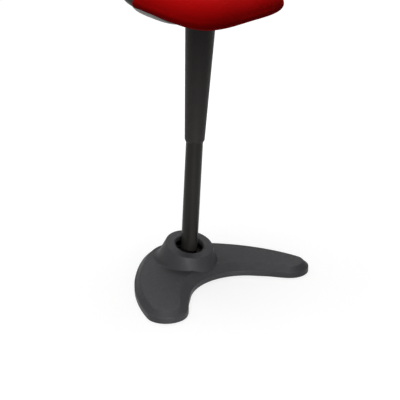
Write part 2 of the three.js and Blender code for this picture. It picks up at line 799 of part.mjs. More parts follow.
function addSeat(swivel, seat) {
  const shaftsAt = (radius, low, high) => {
    return screwPlaces.map(([x, y]) => disc(radius, low, high, tinySteps).translate(x, y, 0));
  };
  const board = slabOf(roundedRectangle(boardHalfWidth, boardHalfDepth, boardCorner, -seatForward), boardLow, boardHigh);
  const boardRoom = slabOf(
    roundedRectangle(boardHalfWidth + gap, boardHalfDepth + gap, boardCorner, -seatForward),
    boardLow - overrun, boardHigh + gap);
  const pilot = shaftsAt(seatScrewRadius + gap, boardLow - overrun, boardLow + seatScrewBite + gap);
  mesh('seat_board', cut(board, ...pilot), 'wood', seat);

  const cushion = cut(loft(cushionRings()), boardRoom, seatBand(gap));
  mesh('seat_cushion', cushion, 'fabric', seat);
  mesh('rear_band', seatBand(), 'band', seat);

  const shell = cut(panDish(0), panDish(panWall));
  const bosses = shaftsAt(panBossRadius, panFloor - panWall / 2, boardLow - gap);
  const screwRoom = shaftsAt(seatScrewRadius + gap, panLow - overrun, 0);
  const pan = cut(join(shell, ...bosses), loft(cushionRings(gap)), seatBand(gap), ...screwRoom);
  mesh('seat_pan', pan, 'pan', seat);

  screwPlaces.forEach(([x, y], i) => {
    const screw = lathe([
      [0, bracketLow - gap - seatScrewHeadHeight],
      [seatScrewHead, bracketLow - gap - seatScrewHeadHeight],
      [seatScrewHead, bracketLow - gap],
      [seatScrewRadius, bracketLow - gap],
      [seatScrewRadius, boardLow + seatScrewBite],
      [0, boardLow + seatScrewBite],
    ], tinySteps);
    mesh(`seat_screw_${i + 1}`, screw.translate(x, y, 0), 'zinc', seat);
  });
  mesh('seat_bracket', seatBracket(), 'blackSteel', swivel);
}

// From the tipped seat frame to the swivel's frame
function fromSeat(geometry) {
  return geometry.rotateX(seatTilt).translate(0, 0, seatRise);
}

function alongY(radius, half, x, rise, steps = smallSteps) {
  return disc(radius, -half, half, steps).rotateX(Math.PI / 2).translate(x, 0, rise);
}

function seatBracket() {
  const outline = roundedRectangle(bracketHalfWidth, bracketHalfDepth, bracketCorner, bracketBack);
  const screwHoles = screwPlaces.map(([x, y]) => {
    return disc(seatScrewRadius + gap, bracketLow - overrun, bracketHigh + overrun, tinySteps).translate(x, y, 0);
  });
  const plate = cut(slabOf(outline, bracketLow, bracketHigh), ...screwHoles);
  const post = disc(hubRadius, hubLow, seatRise, innerSteps);
  const above = slabOf(outline, (bracketLow + bracketHigh) / 2, hullDepth);
  const step = cylinderHigh + gap;
  const bore = lathe([
    [0, hubLow - overrun],
    [cylinderRadius + gap, hubLow - overrun],
    [cylinderRadius + gap, coneLow],
    [coneTopRadius + gap, coneHigh],
    [cylinderTopRadius + gap, step],
    [hubChamber, step],
    [hubChamber, hubChamberHigh],
    [0, hubChamberHigh],
  ]);
  const slotDepth = hubRadius + overrun;
  const slot = new THREE.BoxGeometry(slotDepth, leverWidth + slideGap, hubChamberHigh - step);
  slot.translate(slotDepth / 2, 0, (hubChamberHigh + step) / 2);
  const pinHole = alongY(leverPinRadius + gap, hubRadius + overrun, leverPivotX, leverPivotRise);
  return cut(join(cut(post, fromSeat(above)), fromSeat(plate)), bore, slot, pinHole);
}

function addLever(swivel) {
  const half = leverThickness / 2;
  const bar = new THREE.Shape();
  bar.moveTo(leverInnerEnd, leverPivotRise - half);
  bar.lineTo(leverKneeX, leverPivotRise - half);
  bar.lineTo(leverDropX, leverPivotRise - leverDrop - half);
  bar.lineTo(leverReach, leverPivotRise - leverDrop - half);
  bar.lineTo(leverReach, leverPivotRise - leverDrop + half);
  bar.lineTo(leverDropX, leverPivotRise - leverDrop + half);
  bar.lineTo(leverKneeX, leverPivotRise + half);
  bar.lineTo(leverInnerEnd, leverPivotRise + half);
  const flat = slabOf(bar, -leverWidth / 2, leverWidth / 2).rotateX(Math.PI / 2);
  const boss = alongY(leverBossRadius, leverWidth / 2, leverPivotX, leverPivotRise);
  const hole = alongY(leverPinRadius + gap, leverWidth, leverPivotX, leverPivotRise);
  mesh('release_lever', cut(join(flat, boss), hole), 'blackSteel', swivel);
  mesh('lever_pin', alongY(leverPinRadius, leverPinHalf, leverPivotX, leverPivotRise, tinySteps), 'zinc', swivel);

  const middle = (gripStart + gripEnd) / 2;
  const gripShape = roundedRectangle((gripEnd - gripStart) / 2, gripWidth / 2, gripCorner);
  const rise = leverPivotRise - leverDrop;
  const grip = slabOf(gripShape, rise - gripThickness / 2, rise + gripThickness / 2).translate(middle, 0, 0);
  const socketLength = leverReach - gripStart + overrun + gap;
  const socket = new THREE.BoxGeometry(socketLength, leverWidth + gap * 2, leverThickness + gap * 2);
  socket.translate(leverReach + gap - socketLength / 2, 0, rise);
  mesh('lever_grip', cut(grip, socket), 'sleeve', swivel);
}

const stool = new THREE.Group();
stool.name = 'perch_stool';
const column = new THREE.Group();
column.position.z = ringHeight;
column.rotation.x = columnLean;
const swivel = new THREE.Group();
swivel.rotation.z = seatYaw;
const seat = new THREE.Group();
seat.position.z = seatRise;
seat.rotation.x = seatTilt;
stool.add(column);
column.add(swivel);
swivel.add(seat);

addBase(stool);
addColumn(column);
addLift(column);
addSeat(swivel, seat);
addLever(swivel);

export default stool;
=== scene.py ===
# Looks of the perch stool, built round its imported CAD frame. Metres in Blender, named sizes in mm.
import math
from contextlib import contextmanager

import bmesh
import bpy
import numpy as np
from mathutils import Matrix, Vector
from mathutils.geometry import delaunay_2d_cdt


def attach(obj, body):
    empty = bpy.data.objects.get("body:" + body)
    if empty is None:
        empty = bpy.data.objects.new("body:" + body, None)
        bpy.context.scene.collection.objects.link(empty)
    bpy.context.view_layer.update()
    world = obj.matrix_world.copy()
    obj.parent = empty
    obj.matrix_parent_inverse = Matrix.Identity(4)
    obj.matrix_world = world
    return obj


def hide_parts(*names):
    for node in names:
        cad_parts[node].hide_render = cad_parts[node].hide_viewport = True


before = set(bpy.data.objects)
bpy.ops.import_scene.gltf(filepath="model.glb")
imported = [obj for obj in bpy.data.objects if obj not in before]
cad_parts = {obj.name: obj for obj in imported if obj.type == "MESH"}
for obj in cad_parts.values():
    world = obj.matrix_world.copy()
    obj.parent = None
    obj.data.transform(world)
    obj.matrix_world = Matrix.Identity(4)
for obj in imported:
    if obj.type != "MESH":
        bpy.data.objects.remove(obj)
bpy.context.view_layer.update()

MM = 0.001
UP = Vector((0, 0, 1))

# Camera: place in mm, sight line by its two side vectors, and the lens on a 36 mm sensor
CAMERA_PLACE = (-1479.0, -1883.0, 1111.8)
CAMERA_RIGHT = (0.7793, -0.6266, 0.0)
CAMERA_UP = (0.2246, 0.2793, 0.9336)
CAMERA_LENS = 91.49
SENSOR_WIDTH = 36.0

# Frames of the leaning column, the turned bracket, the tipped seat and the tipped collar ring
RING_HEIGHT = 70.6
RING_TILT = math.radians(15.45)
COLUMN_LEAN = math.radians(4.51)
SEAT_YAW = math.radians(13.75)
SEAT_RISE = 639.1
SEAT_TILT = math.radians(6.4)

# Meshes in general: the sharpest angle that shades smoothly, welding, steps of turned and rounded forms,
# how much of a side an eased corner may take, and how much of an edge's ease its middle ring keeps
CREASE_ANGLE = math.radians(38)
WELD = 0.01
ROUND_STEPS = 128
PEG_STEPS = 48
PEG_EASE_STEPS = 2
CORNER_STEPS = 8
CURVE_STEPS = 60
LIP_STEPS = 6
SIDE_SHARE = 0.45
EDGE_SHARE = 0.3
AXIS_HOLE = 0.02
FIT_GAP = 0.3

# Base outline, half of it: x across and reach forward of the collar's centre
REAR_REACH = 134.0
REAR_PULL = 60.0
FLANK = (156.7, -22.4)
FLANK_ANGLE = math.radians(49.8)
FLANK_REAR_PULL = 26.0
FLANK_FRONT_PULL = 82.0
TIP_SIDE = (247.2, 156.0)
TIP_SIDE_ANGLE = math.radians(77.2)
TIP_SIDE_REAR_PULL = 46.8
TIP_SIDE_FRONT_PULL = 28.0
TIP_FRONT = (195.7, 214.2)
TIP_FRONT_PULL = 35.0
TIP_INNER_PULL = 28.0
NOTCH_REACH = 91.0
NOTCH_RADIUS = 141.0
NOTCH_ANGLE = math.radians(45)
ARM_INNER_LENGTH = 37.0
OUTLINE_STEP = 3.0

# Base cover: rings from the floor to the slab's top are (inset from the outline, height)
SLAB_TOP = 28.5
WALL_RINGS = (
    (0.7, 1.0), (0.2, 1.2), (0, 1.8), (0, 7), (0, 12.6), (0.08, 13.8), (0.4, 14.9),
    (1.0, 15.6), (1.9, 16.0), (2.7, 16.35), (3.5, 16.95),
)
BEVEL_START = (3.0, 16.5)
BEVEL_END = (14.0, 27.7)
BEVEL_SHARES = (0.16, 0.4, 0.65, 0.85, 0.95)
CREASE_END = 17.0
CREASE_RINGS = ((14.6, 27.85), (15.6, 28.18), (16.8, 28.4), (18.2, SLAB_TOP), (21, SLAB_TOP), (25, SLAB_TOP))
NOTCH_BEVEL_WIDEN = 8.0
NOTCH_BEVEL_FADE = 40.0
APRON_WIDEN = 9.0
APRON_HALF_WIDTH = 90.0
COVER_WALL = 2.2
COVER_WELD = 0.05
SHEET_WELD = 1e-4
SCATTER_STEP = 12.0
SCATTER_X = (-240, 241)
SCATTER_Y = (-210, 131)
SCATTER_INSET = 31.0
SKIRT_SPREAD = 1.06
SKIRT_CLEAR = 1.2

# Collar
RING_RADIUS = 61.8
RING_BROW = 1.32
RING_ROUND = 2.2
RING_MIDDLE = 50.0
LIP_ROUND = 1.5
MOUTH_RADIUS = 38.4
SKIRT_DEPTH = 10.0
FOOT_HALF_WIDTH = 77.0
FOOT_HALF_DEPTH = 87.0
FOOT_BACK = 14.0
FOOT_SLOPE = 2.07
FOOT_REACH = 5.0
FOOT_SHARES = (0.1, 0.2, 0.3, 0.42, 0.56, 0.72, 0.88)
FLARE_RISES = (1, 0.94, 0.85, 0.75, 0.65, 0.55, 0.45, 0.36, 0.28, 0.21, 0.15, 0.1, 0.06, 0.03, 0)
FLARE_SHARES = ((0, 0), (0.08, 0.13), (0.25, 0.31), (0.5, 0.54), (0.75, 0.77), (1, 1))
FILLET_FRONT = 2.0
FILLET_REAR = 16.0
FILLET_SPREAD = 0.62
FILLET_GAIN = 1.6
FILLET_START = 0.3
COLLAR_STEPS = 192
LINER_WALL = 2.6
LINER_LOW = -9.18
LINER_HIGH = -0.18
LINER_EASE = 0.5
LINER_LIP = 1.1

# Bosses under the cover that its screws bite in
BOSS_RADIUS = 6.0
BOSS_BORE = 2.3
BOSS_AXIS = 0.05
BOSS_LOW = 12.6
BOSS_HIGH = 27.0
BOSS_BORE_HIGH = 21.9
BOSS_EASE = 0.4
BOSS_STEPS = 32
BOSS_PLACES = ((196, -168), (142, -28), (74, 66))

# Column
TUBE_RADIUS = 21.2
TUBE_INNER = 18.6
TUBE_LOW = -13.0
TUBE_HIGH = 335.0
TUBE_EASE = 0.5
SLEEVE_LOW = 285.0
SLEEVE_HIGH = 588.0
SLEEVE_LOW_RADIUS = 24.6
SLEEVE_HIGH_RADIUS = 36.1
SLEEVE_CHAMFER_HEIGHT = 5.0
SLEEVE_CHAMFER = 2.2
SLEEVE_WALL = 2.4
SLEEVE_FLANGE = 4.0
SLEEVE_MOUTH = 21.8
SLEEVE_HUB_HOLE = 20.3
SLEEVE_EASE = 0.8
SLEEVE_CRISP = 0.3
SLEEVE_HUB_EASE = 0.6
SLEEVE_TOP_EASE = 1.4
SLEEVE_SHOULDER_EASE = 1.6

# Seat: a plan is its half sizes, the power of its outline and how far it stands back
SEAT_HALF = (182.5, 144.0)
SEAT_POWER = 3.8
SEAT_BACK = -9.0
SEAT_PLAN = (SEAT_HALF, SEAT_POWER, SEAT_BACK)
HULL_DEPTH = 25.0
HULL_INSET = 72.0
CROWN_HEIGHT = 46.0
CROWN_INSET = 85.0
CROWN_SHARES = (
    (0, 0), (0.012, 0.16), (0.045, 0.36), (0.1, 0.56), (0.19, 0.74),
    (0.32, 0.87), (0.5, 0.95), (0.72, 0.99), (1, 1),
)
CROWN_STEPS = 14
CROWN_FINENESS = 3
CROWN_ROUNDS = 4
CROWN_END = 0.95
PAN_PLAN = ((177.7, 92.6), 3.2, 14.0)
PAN_DROP = 6.9
PAN_DEPTH = 25.0
PAN_INSET = 53.3
PAN_WALL = 3.5
PAN_GAP = 0.7
PAN_BAND_GAP = 0.4
PAD_GRID = (144, 13)
PAN_GRID = (288, 37)

# Band round the seat's back
BAND_THICKNESS = 8.0
BAND_LOW = -16.0
BAND_HIGH = 20.0
BAND_HALF_ANGLE = math.radians(69.5)
BAND_END = 8.0
BAND_END_SQUEEZE = 0.96
BAND_EDGE = 3.0
BAND_EASE = 2.2
BAND_INNER_EASE = 0.6
BAND_OVERCUT = 2.5
BAND_GRID = (110, 15)
BAND_GROOVE = 4.0
BAND_TUCK = 0.9
BAND_ROOM = 0.5

# Board's room in the cushion
BOARD_HALF = (108.0, 70.0)
BOARD_CORNER = 26.0
BOARD_TOP = -16.7
FABRIC_ROOM = 0.2
FABRIC_LAP = 0.2
FABRIC_SKIN = 0.3
PAN_COVERED = 24.0
OPENING_STEPS = 96

# Cushion's simulation
PUFF_SHRINK = 4.0
PUFF_VOXEL = 5.0
PUFF_FRAMES = 20
PUFF_CAP = 6.5
PUFF_SHARE = 0.14
PUFF_SINK = 1.2
PUFF_HOLD = -20.0
EVEN_ROUNDS = 12
HULL_FADE = 10.0
CLOTH = {
    "quality": 6, "mass": 0.25,
    "tension_stiffness": 18, "compression_stiffness": 18, "shear_stiffness": 8, "bending_stiffness": 1.5,
    "use_pressure": True, "uniform_pressure_force": 4.0, "vertex_group_mass": "held",
}

# Lever
LEVER_RISE = 597.0
LEVER_DROP = 10.0
LEVER_HALF_THICKNESS = 2.0
LEVER_HALF_WIDTH = 5.0
LEVER_LINE = ((-6, 0), (39, 0), (60, -10), (150, -10))
LEVER_ROUND = 1.2
LEVER_EASE = 0.6
LEVER_PIVOT_X = 14.0
LEVER_BOSS_RADIUS = 4.3
LEVER_BOSS_EASE = 0.4
LEVER_PIN_HOLE = 2.3
LEVER_PIN_HALF = 9
GRIP_START = 118.0
GRIP_END = 166.0
GRIP_HALF_WIDTH = 13.0
GRIP_HALF_THICKNESS = 4.5
GRIP_CORNER = 9.0
GRIP_INSET = 3.2
GRIP_FULLNESS = 0.7
GRIP_SIDE_FULLNESS = 0.6
GRIP_LAYERS = 16
SOCKET_LEAD = 2.0

# Paint: where noise counts as low and high, the edges lightened as wear and as a painted highlight, and the
# grain
NOISE_RANGE = (0.3, 0.7)
EDGE_WEAR_HIGHLIGHT_WIDTH = 1.2
EDGE_WEAR_HIGHLIGHT_FACING = (0.99, 0.9)
EDGE_WEAR_HIGHLIGHT_SCALE = 220
EDGE_WEAR_HIGHLIGHT_SPREAD = (0.3, 1.0)
ROUGH_SCALE = 2.3
GRAIN_DETAIL = 2.0
GRAIN_STRENGTH = 0.6

# Fabric: thread in mm, how deep the weave dips, how sharply it turns with the surface, the painted shade in
# the weave's dips and painted highlight on its crests, fuzz and patches
THREAD = 1.1
WEAVE_DIP = 0.6
WEAVE_TURN = 3.0
WEAVE_DEPTH = 0.25
WEAVE_STRENGTH = 0.5
WEAVE_SHADE_AND_HIGHLIGHT = (0.78, 1.12)
THREAD_PLACES = (0.35, 1.0)
FUZZ_SCALE = 2600
FUZZ_SHARE = 0.7
PATCH_SCALE = 18
PATCH_DETAIL = 4.0
PATCH_SHADE = (0.93, 0.93, 0.93, 1)
PLAIN_NOISE = 0.5

# Floor and world: the floor's glow is its near and far distance in metres, then its strength there
FLOOR_HALF = 6.0
FLOOR_ALBEDO = 0.3
FLOOR_GLOW = (0.45, 1.3, 0.78, 1.0)
WORLD_LIGHT = 0.05
WORLD_MIRRORED = 0.2
WHITE = (1, 1, 1, 1)

column_frame = Matrix.Translation(UP * RING_HEIGHT) @ Matrix.Rotation(COLUMN_LEAN, 4, "X")
swivel_frame = column_frame @ Matrix.Rotation(SEAT_YAW, 4, "Z")
seat_frame = swivel_frame @ Matrix.Translation(UP * SEAT_RISE) @ Matrix.Rotation(SEAT_TILT, 4, "X")
ring_frame = Matrix.Translation(UP * RING_HEIGHT) @ Matrix.Rotation(RING_TILT, 4, "X")


# Mesh helpers
def add_object(name, data):
    obj = bpy.data.objects.new(name, data)
    bpy.context.scene.collection.objects.link(obj)
    return obj


def new_object(name, points, faces, place=Matrix.Identity(4)):
    mesh = bpy.data.meshes.new(name)
    mesh.from_pydata([(place @ Vector(p)) * MM for p in points], [], faces)
    return add_object(name, mesh)


@contextmanager
def edited(obj):
    """The object's mesh, open for changes."""
    work = bmesh.new()
    work.from_mesh(obj.data)
    yield work
    work.to_mesh(obj.data)
    work.free()


def smooth_faces(mesh):
    for polygon in mesh.polygons:
        polygon.use_smooth = True


def tidy_mesh(obj, weld=WELD):
    with edited(obj) as work:
        bmesh.ops.remove_doubles(work, verts=work.verts, dist=weld * MM)
        bmesh.ops.dissolve_degenerate(work, edges=work.edges, dist=weld * MM * 0.1)
        bmesh.ops.recalc_face_normals(work, faces=work.faces)
    smooth_faces(obj.data)
    obj.data.update()
    return obj


def evaluated_mesh(obj):
    graph = bpy.context.evaluated_depsgraph_get()
    return bpy.data.meshes.new_from_object(obj.evaluated_get(graph))


def apply_modifiers(obj):
    made = evaluated_mesh(obj)
    obj.modifiers.clear()
    obj.data = made
    smooth_faces(made)
    return obj


def with_modifier(obj, kind, **settings):
    mod = obj.modifiers.new(kind.lower(), kind)
    for key, value in settings.items():
        setattr(mod, key, value)
    return apply_modifiers(obj)


def weigh_normals(obj):
    """Keeps flat faces flat beside eased edges, and true corners crisp."""
    with edited(obj) as work:
        for edge in work.edges:
            edge.smooth = len(edge.link_faces) != 2 or edge.calc_face_angle(0) < CREASE_ANGLE
    obj.modifiers.new("weighted_normals", "WEIGHTED_NORMAL").keep_sharp = True
    return obj


def combined(obj, operation, *tools):
    """The object with tools cut from it or joined to it. The tools are used up."""
    for tool in tools:
        mod = obj.modifiers.new("combine", "BOOLEAN")
        mod.operation = operation
        mod.solver = "EXACT"
        mod.object = tool
    apply_modifiers(obj)
    for tool in tools:
        bpy.data.objects.remove(tool)
    return obj


def ring_faces(rings, count, closed_stack=False):
    """Quads between stacked closed rings of count points each."""
    faces = []
    for k in range(rings if closed_stack else rings - 1):
        above = (k + 1) % rings
        for i in range(count):
            j = (i + 1) % count
            faces.append((k * count + i, k * count + j, above * count + j, above * count + i))
    return faces


def loft(rings):
    """Points and faces of stacked rings with both ends capped."""
    count = len(rings[0])
    points = [tuple(p) for ring in rings for p in ring]
    faces = ring_faces(len(rings), count)
    faces.append(tuple(range(count))[::-1])
    faces.append(tuple(range(len(points) - count, len(points))))
    return points, faces


def lathe(profile, steps):
    """Closed profile of (radius, height) turned about Z."""
    angles = np.arange(steps) * 2 * math.pi / steps
    points = [(radius * math.cos(a), radius * math.sin(a), height)
              for radius, height in profile for a in angles]
    return points, ring_faces(len(profile), steps, closed_stack=True)


def rounded(profile, radius, steps=4):
    """A closed profile with each corner eased. A third number in a point is its own radius."""
    made = []
    for i, point in enumerate(profile):
        corner = Vector(point[:2])
        before = Vector(profile[i - 1][:2]) - corner
        after = Vector(profile[(i + 1) % len(profile)][:2]) - corner
        reach = point[2] if len(point) > 2 else radius
        start = corner + before.normalized() * min(reach, before.length * SIDE_SHARE)
        end = corner + after.normalized() * min(reach, after.length * SIDE_SHARE)
        for k in range(steps + 1):
            t = k / steps
            made.append(tuple(start * (1 - t) ** 2 + corner * 2 * t * (1 - t) + end * t ** 2))
    return made


def turned(name, profile, place, ease):
    points, faces = lathe(rounded(profile, ease), ROUND_STEPS)
    return weigh_normals(tidy_mesh(new_object(name, points, faces, place)))


def rounded_box(half_x, half_y, corner):
    """Anticlockwise plan points of a box with round corners."""
    made = []
    for k, (sx, sy) in enumerate(((1, -1), (1, 1), (-1, 1), (-1, -1))):
        for i in range(CORNER_STEPS + 1):
            a = (k - 1) * math.pi / 2 + i * math.pi / 2 / CORNER_STEPS
            made.append((sx * (half_x - corner) + corner * math.cos(a),
                         sy * (half_y - corner) + corner * math.sin(a)))
    return made


def settle(obj, body, slot, look, *nodes):
    """Rides a finished piece on its body, in place of its CAD nodes."""
    obj.data.materials.clear()
    obj.data.materials.append(look)
    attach(obj, body)
    if nodes:
        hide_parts(*nodes)
    return obj


# Base cover
def bezier(a, b, c, d):
    t = np.linspace(0, 1, CURVE_STEPS + 1)[:, None]
    a, b, c, d = (np.array(p, float) for p in (a, b, c, d))
    return a * (1 - t) ** 3 + 3 * b * t * (1 - t) ** 2 + 3 * c * t * t * (1 - t) + d * t ** 3


def along(angle, length):
    return np.array([math.cos(angle), math.sin(angle)]) * length


def base_outline():
    """The base's outline as an anticlockwise loop, evenly spaced, symmetric about x = 0."""
    flank, side, front = np.array(FLANK), np.array(TIP_SIDE), np.array(TIP_FRONT)
    notch = np.array([0, NOTCH_REACH + NOTCH_RADIUS])
    arc_end = notch + np.array([math.sin(NOTCH_ANGLE), -math.cos(NOTCH_ANGLE)]) * NOTCH_RADIUS
    inner = arc_end + along(NOTCH_ANGLE, ARM_INNER_LENGTH)
    sweep = np.linspace(NOTCH_ANGLE, 0, CURVE_STEPS)
    arc = notch + np.stack([np.sin(sweep), -np.cos(sweep)], 1) * NOTCH_RADIUS
    half = np.concatenate([
        bezier((0, -REAR_REACH), (REAR_PULL, -REAR_REACH),
               flank - along(FLANK_ANGLE, FLANK_REAR_PULL), flank),
        bezier(flank, flank + along(FLANK_ANGLE, FLANK_FRONT_PULL),
               side - along(TIP_SIDE_ANGLE, TIP_SIDE_REAR_PULL), side)[1:],
        bezier(side, side + along(TIP_SIDE_ANGLE, TIP_SIDE_FRONT_PULL),
               front + (TIP_FRONT_PULL, 0), front)[1:],
        bezier(front, front - (TIP_FRONT_PULL, 0),
               inner + along(NOTCH_ANGLE, TIP_INNER_PULL), inner)[1:],
        arc,
    ])
    lengths = np.concatenate([[0], np.cumsum(np.linalg.norm(np.diff(half, axis=0), axis=1))])
    places = np.linspace(0, lengths[-1], int(lengths[-1] / OUTLINE_STEP) + 1)
    even = np.stack([np.interp(places, lengths, half[:, k]) for k in (0, 1)], 1)
    right = even * (1, -1)
    left = right[1:-1][::-1] * (-1, 1)
    return np.concatenate([right, left])[::-1]


def bevel_widen(points):
    """How much wider the bevel is at each point of the outline, round the notch."""
    from_centre = np.hypot(points[:, 0], points[:, 1] + NOTCH_REACH + NOTCH_RADIUS)
    notch_share = np.clip(1 - (from_centre - NOTCH_RADIUS) / NOTCH_BEVEL_FADE, 0, 1)
    apron_share = notch_share * np.maximum(0, 1 - (points[:, 0] / APRON_HALF_WIDTH) ** 2) ** 2
    return NOTCH_BEVEL_WIDEN * notch_share + APRON_WIDEN * apron_share


outline = base_outline()
outline_inward = np.roll(outline, -1, 0) - np.roll(outline, 1, 0)
outline_inward = np.stack([-outline_inward[:, 1], outline_inward[:, 0]], 1)
outline_inward /= np.linalg.norm(outline_inward, axis=1)[:, None]
outline_widen = bevel_widen(outline)


def level_ring(inset, height, share=0.0):
    """The outline drawn in, at one height. The share is how much of the bevel's widening counts."""
    plan = outline + outline_inward * (inset + outline_widen * share)[:, None]
    return np.column_stack([plan, np.full(len(plan), height)])


def bevel_ring(share):
    inset = BEVEL_START[0] + (BEVEL_END[0] - BEVEL_START[0]) * share
    height = BEVEL_START[1] + (BEVEL_END[1] - BEVEL_START[1]) * share
    return level_ring(inset, height, share)


def slab_height(points):
    """Height of the slab and its bevel at plan points inside the outline."""
    edges = np.roll(outline, -1, 0) - outline
    best = np.full(len(points), np.inf)
    widen = np.zeros(len(points))
    for a, e, w in zip(outline, edges, outline_widen):
        t = np.clip(((points - a) @ e) / (e @ e), 0, 1)
        far = np.linalg.norm(points - a - t[:, None] * e, axis=1)
        nearer = far < best
        best = np.where(nearer, far, best)
        widen = np.where(nearer, w, widen)
    share = np.clip((best - BEVEL_START[0]) / (BEVEL_END[0] - BEVEL_START[0] + widen), 0, 1)
    bevel = BEVEL_START[1] + (BEVEL_END[1] - BEVEL_START[1]) * share
    past = np.clip((best - BEVEL_END[0] - widen) / (CREASE_END - BEVEL_END[0]), 0, 1)
    return bevel + (SLAB_TOP - BEVEL_END[1]) * past * (2 - past) ** 0.5


def smooth_max(a, b, k):
    """The larger of two heights, blended over k where they meet."""
    h = np.maximum(k - np.abs(a - b), 0) / k
    return np.maximum(a, b) + h * h * k / 4


def inside(points, loop):
    """Which plan points lie inside a closed loop."""
    x, y = points[:, 0], points[:, 1]
    found = np.zeros(len(points), bool)
    for (ax, ay), (bx, by) in zip(loop, np.roll(loop, -1, 0)):
        if ay != by:
            found ^= ((ay > y) != (by > y)) & (x < (bx - ax) * (y - ay) / (by - ay) + ax)
    return found


def collar_rings():
    """Rings of the collar from its brow down and out to where it has run into the slab."""
    angles = np.arange(COLLAR_STEPS) * 2 * math.pi / COLLAR_STEPS
    cx, cy = np.cos(angles), np.sin(angles)
    rear = (1 + cy) / 2
    foot = np.stack([cx * FOOT_HALF_WIDTH, cy * FOOT_HALF_DEPTH + FOOT_BACK], 1)
    top = np.stack([cx * RING_RADIUS, cy * RING_RADIUS * math.cos(RING_TILT)], 1)
    top_z = RING_HEIGHT + cy * RING_RADIUS * math.sin(RING_TILT)
    out = foot - top
    out /= np.linalg.norm(out, axis=1)[:, None]
    fillet = FILLET_FRONT + (FILLET_REAR - FILLET_FRONT) * np.clip(rear * FILLET_GAIN - FILLET_START, 0, 1)
    reach = FOOT_REACH + fillet * FILLET_SPREAD
    rises, shares = np.transpose(FLARE_SHARES)
    rings = []
    for rise in FLARE_RISES:
        inward = (rise + (np.interp(rise, rises, shares) - rise) * rear)[:, None]
        rings.append((foot + (top - foot) * inward, SLAB_TOP + (top_z - SLAB_TOP) * rise))
    for share in FOOT_SHARES:
        rings.append((foot + out * (reach * share)[:, None], SLAB_TOP - reach * share * FOOT_SLOPE))
    last = foot + out * reach[:, None]
    made = [np.column_stack(rings[0])]
    made += [np.column_stack([plan, smooth_max(height, slab_height(plan), fillet)])
             for plan, height in rings[1:]]
    return made + [np.column_stack([last, slab_height(last)])]


def ring_top():
    """Rings from the collar's brow over its flat top and down the mouth's wall."""
    arc = np.linspace(0, math.pi / 2, LIP_STEPS)
    brow = [(RING_RADIUS - RING_ROUND * (1 - math.cos(t)), RING_BROW * math.sin(t)) for t in arc[1:]]
    lip = [(MOUTH_RADIUS + LIP_ROUND * (1 - math.sin(t)), RING_BROW - LIP_ROUND * (1 - math.cos(t)))
           for t in arc]
    flat = [(radius, RING_BROW)
            for radius in (RING_RADIUS - RING_ROUND - LIP_ROUND, RING_MIDDLE, MOUTH_RADIUS + 2 * LIP_ROUND)]
    section = brow + flat + lip + [(MOUTH_RADIUS, -LIP_ROUND), (MOUTH_RADIUS, -SKIRT_DEPTH)]
    angles = [i * 2 * math.pi / COLLAR_STEPS for i in range(COLLAR_STEPS)]
    return [np.array([ring_frame @ Vector((radius * math.cos(a), radius * math.sin(a), height))
                      for a in angles]) for radius, height in section]


def slab_sheet(seam, rings, collar):
    """One sheet of triangles from the bevel's seam to the collar's last ring, through the rings between."""
    n = len(seam)
    skirt = collar[-1]
    keep_off = skirt[:, :2] + (skirt[:, :2] - collar[-2][:, :2]) * SKIRT_CLEAR
    points = [*map(tuple, seam), *map(tuple, skirt)]
    edges = [(i, (i + 1) % n) for i in range(n)]
    edges += [(n + i, n + (i + 1) % COLLAR_STEPS) for i in range(COLLAR_STEPS)]
    for ring in rings:
        kept = ~inside(ring[:, :2], keep_off)
        numbers = np.full(n, -1)
        numbers[kept] = len(points) + np.arange(kept.sum())
        points += map(tuple, ring[kept])
        edges += [(int(a), int(b)) for a, b in zip(numbers, np.roll(numbers, -1)) if a >= 0 and b >= 0]
    columns, rows = np.arange(*SCATTER_X, SCATTER_STEP), np.arange(*SCATTER_Y, SCATTER_STEP)
    grid = np.array([(x, y) for x in columns for y in rows])
    flat_zone = level_ring(SCATTER_INSET, SLAB_TOP, 1.0)[:, :2]
    grid = grid[inside(grid, flat_zone) & ~inside(grid, skirt[:, :2] * SKIRT_SPREAD)]
    points += [(x, y, SLAB_TOP) for x, y in grid]
    flat = [Vector(p[:2]) for p in points]
    verts, _, faces, source, _, _ = delaunay_2d_cdt(flat, edges, [], 0, SHEET_WELD)
    made = [(*v, points[s[0]][2] if s else SLAB_TOP) for v, s in zip(verts, source)]
    middles = np.array([np.mean([made[i][:2] for i in f], axis=0) for f in faces])
    wanted = inside(middles, seam[:, :2]) & ~inside(middles, skirt[:, :2])
    return made, [f for f, w in zip(faces, wanted) if w]


def base_shell():
    """The cover: its wall and bevel, the slab's sheet and the collar, welded and given a wall's thickness."""
    wall = [level_ring(inset, height) for inset, height in WALL_RINGS]
    seam, *bevel = map(bevel_ring, BEVEL_SHARES)
    crease = [level_ring(inset, height, 1.0) for inset, height in CREASE_RINGS]
    collar = collar_rings()
    stack = collar[::-1] + ring_top()
    parts = (
        (np.concatenate([*wall, seam]), ring_faces(len(wall) + 1, len(outline))),
        slab_sheet(seam, bevel + crease, collar),
        (np.concatenate(stack), ring_faces(len(stack), COLLAR_STEPS)),
    )
    points, faces = [], []
    for part_points, part_faces in parts:
        faces += [tuple(len(points) + i for i in f) for f in part_faces]
        points += map(tuple, part_points)
    obj = tidy_mesh(new_object("base_shell", points, faces), COVER_WELD)
    with edited(obj) as work:
        bmesh.ops.delete(work, geom=[v for v in work.verts if not v.link_faces], context="VERTS")
    if sum(p.normal.z * p.area for p in obj.data.polygons) < 0:
        obj.data.flip_normals()
    with_modifier(obj, "SOLIDIFY", thickness=COVER_WALL * MM, offset=-1, use_rim=True)
    add_bosses(obj)
    return weigh_normals(obj)


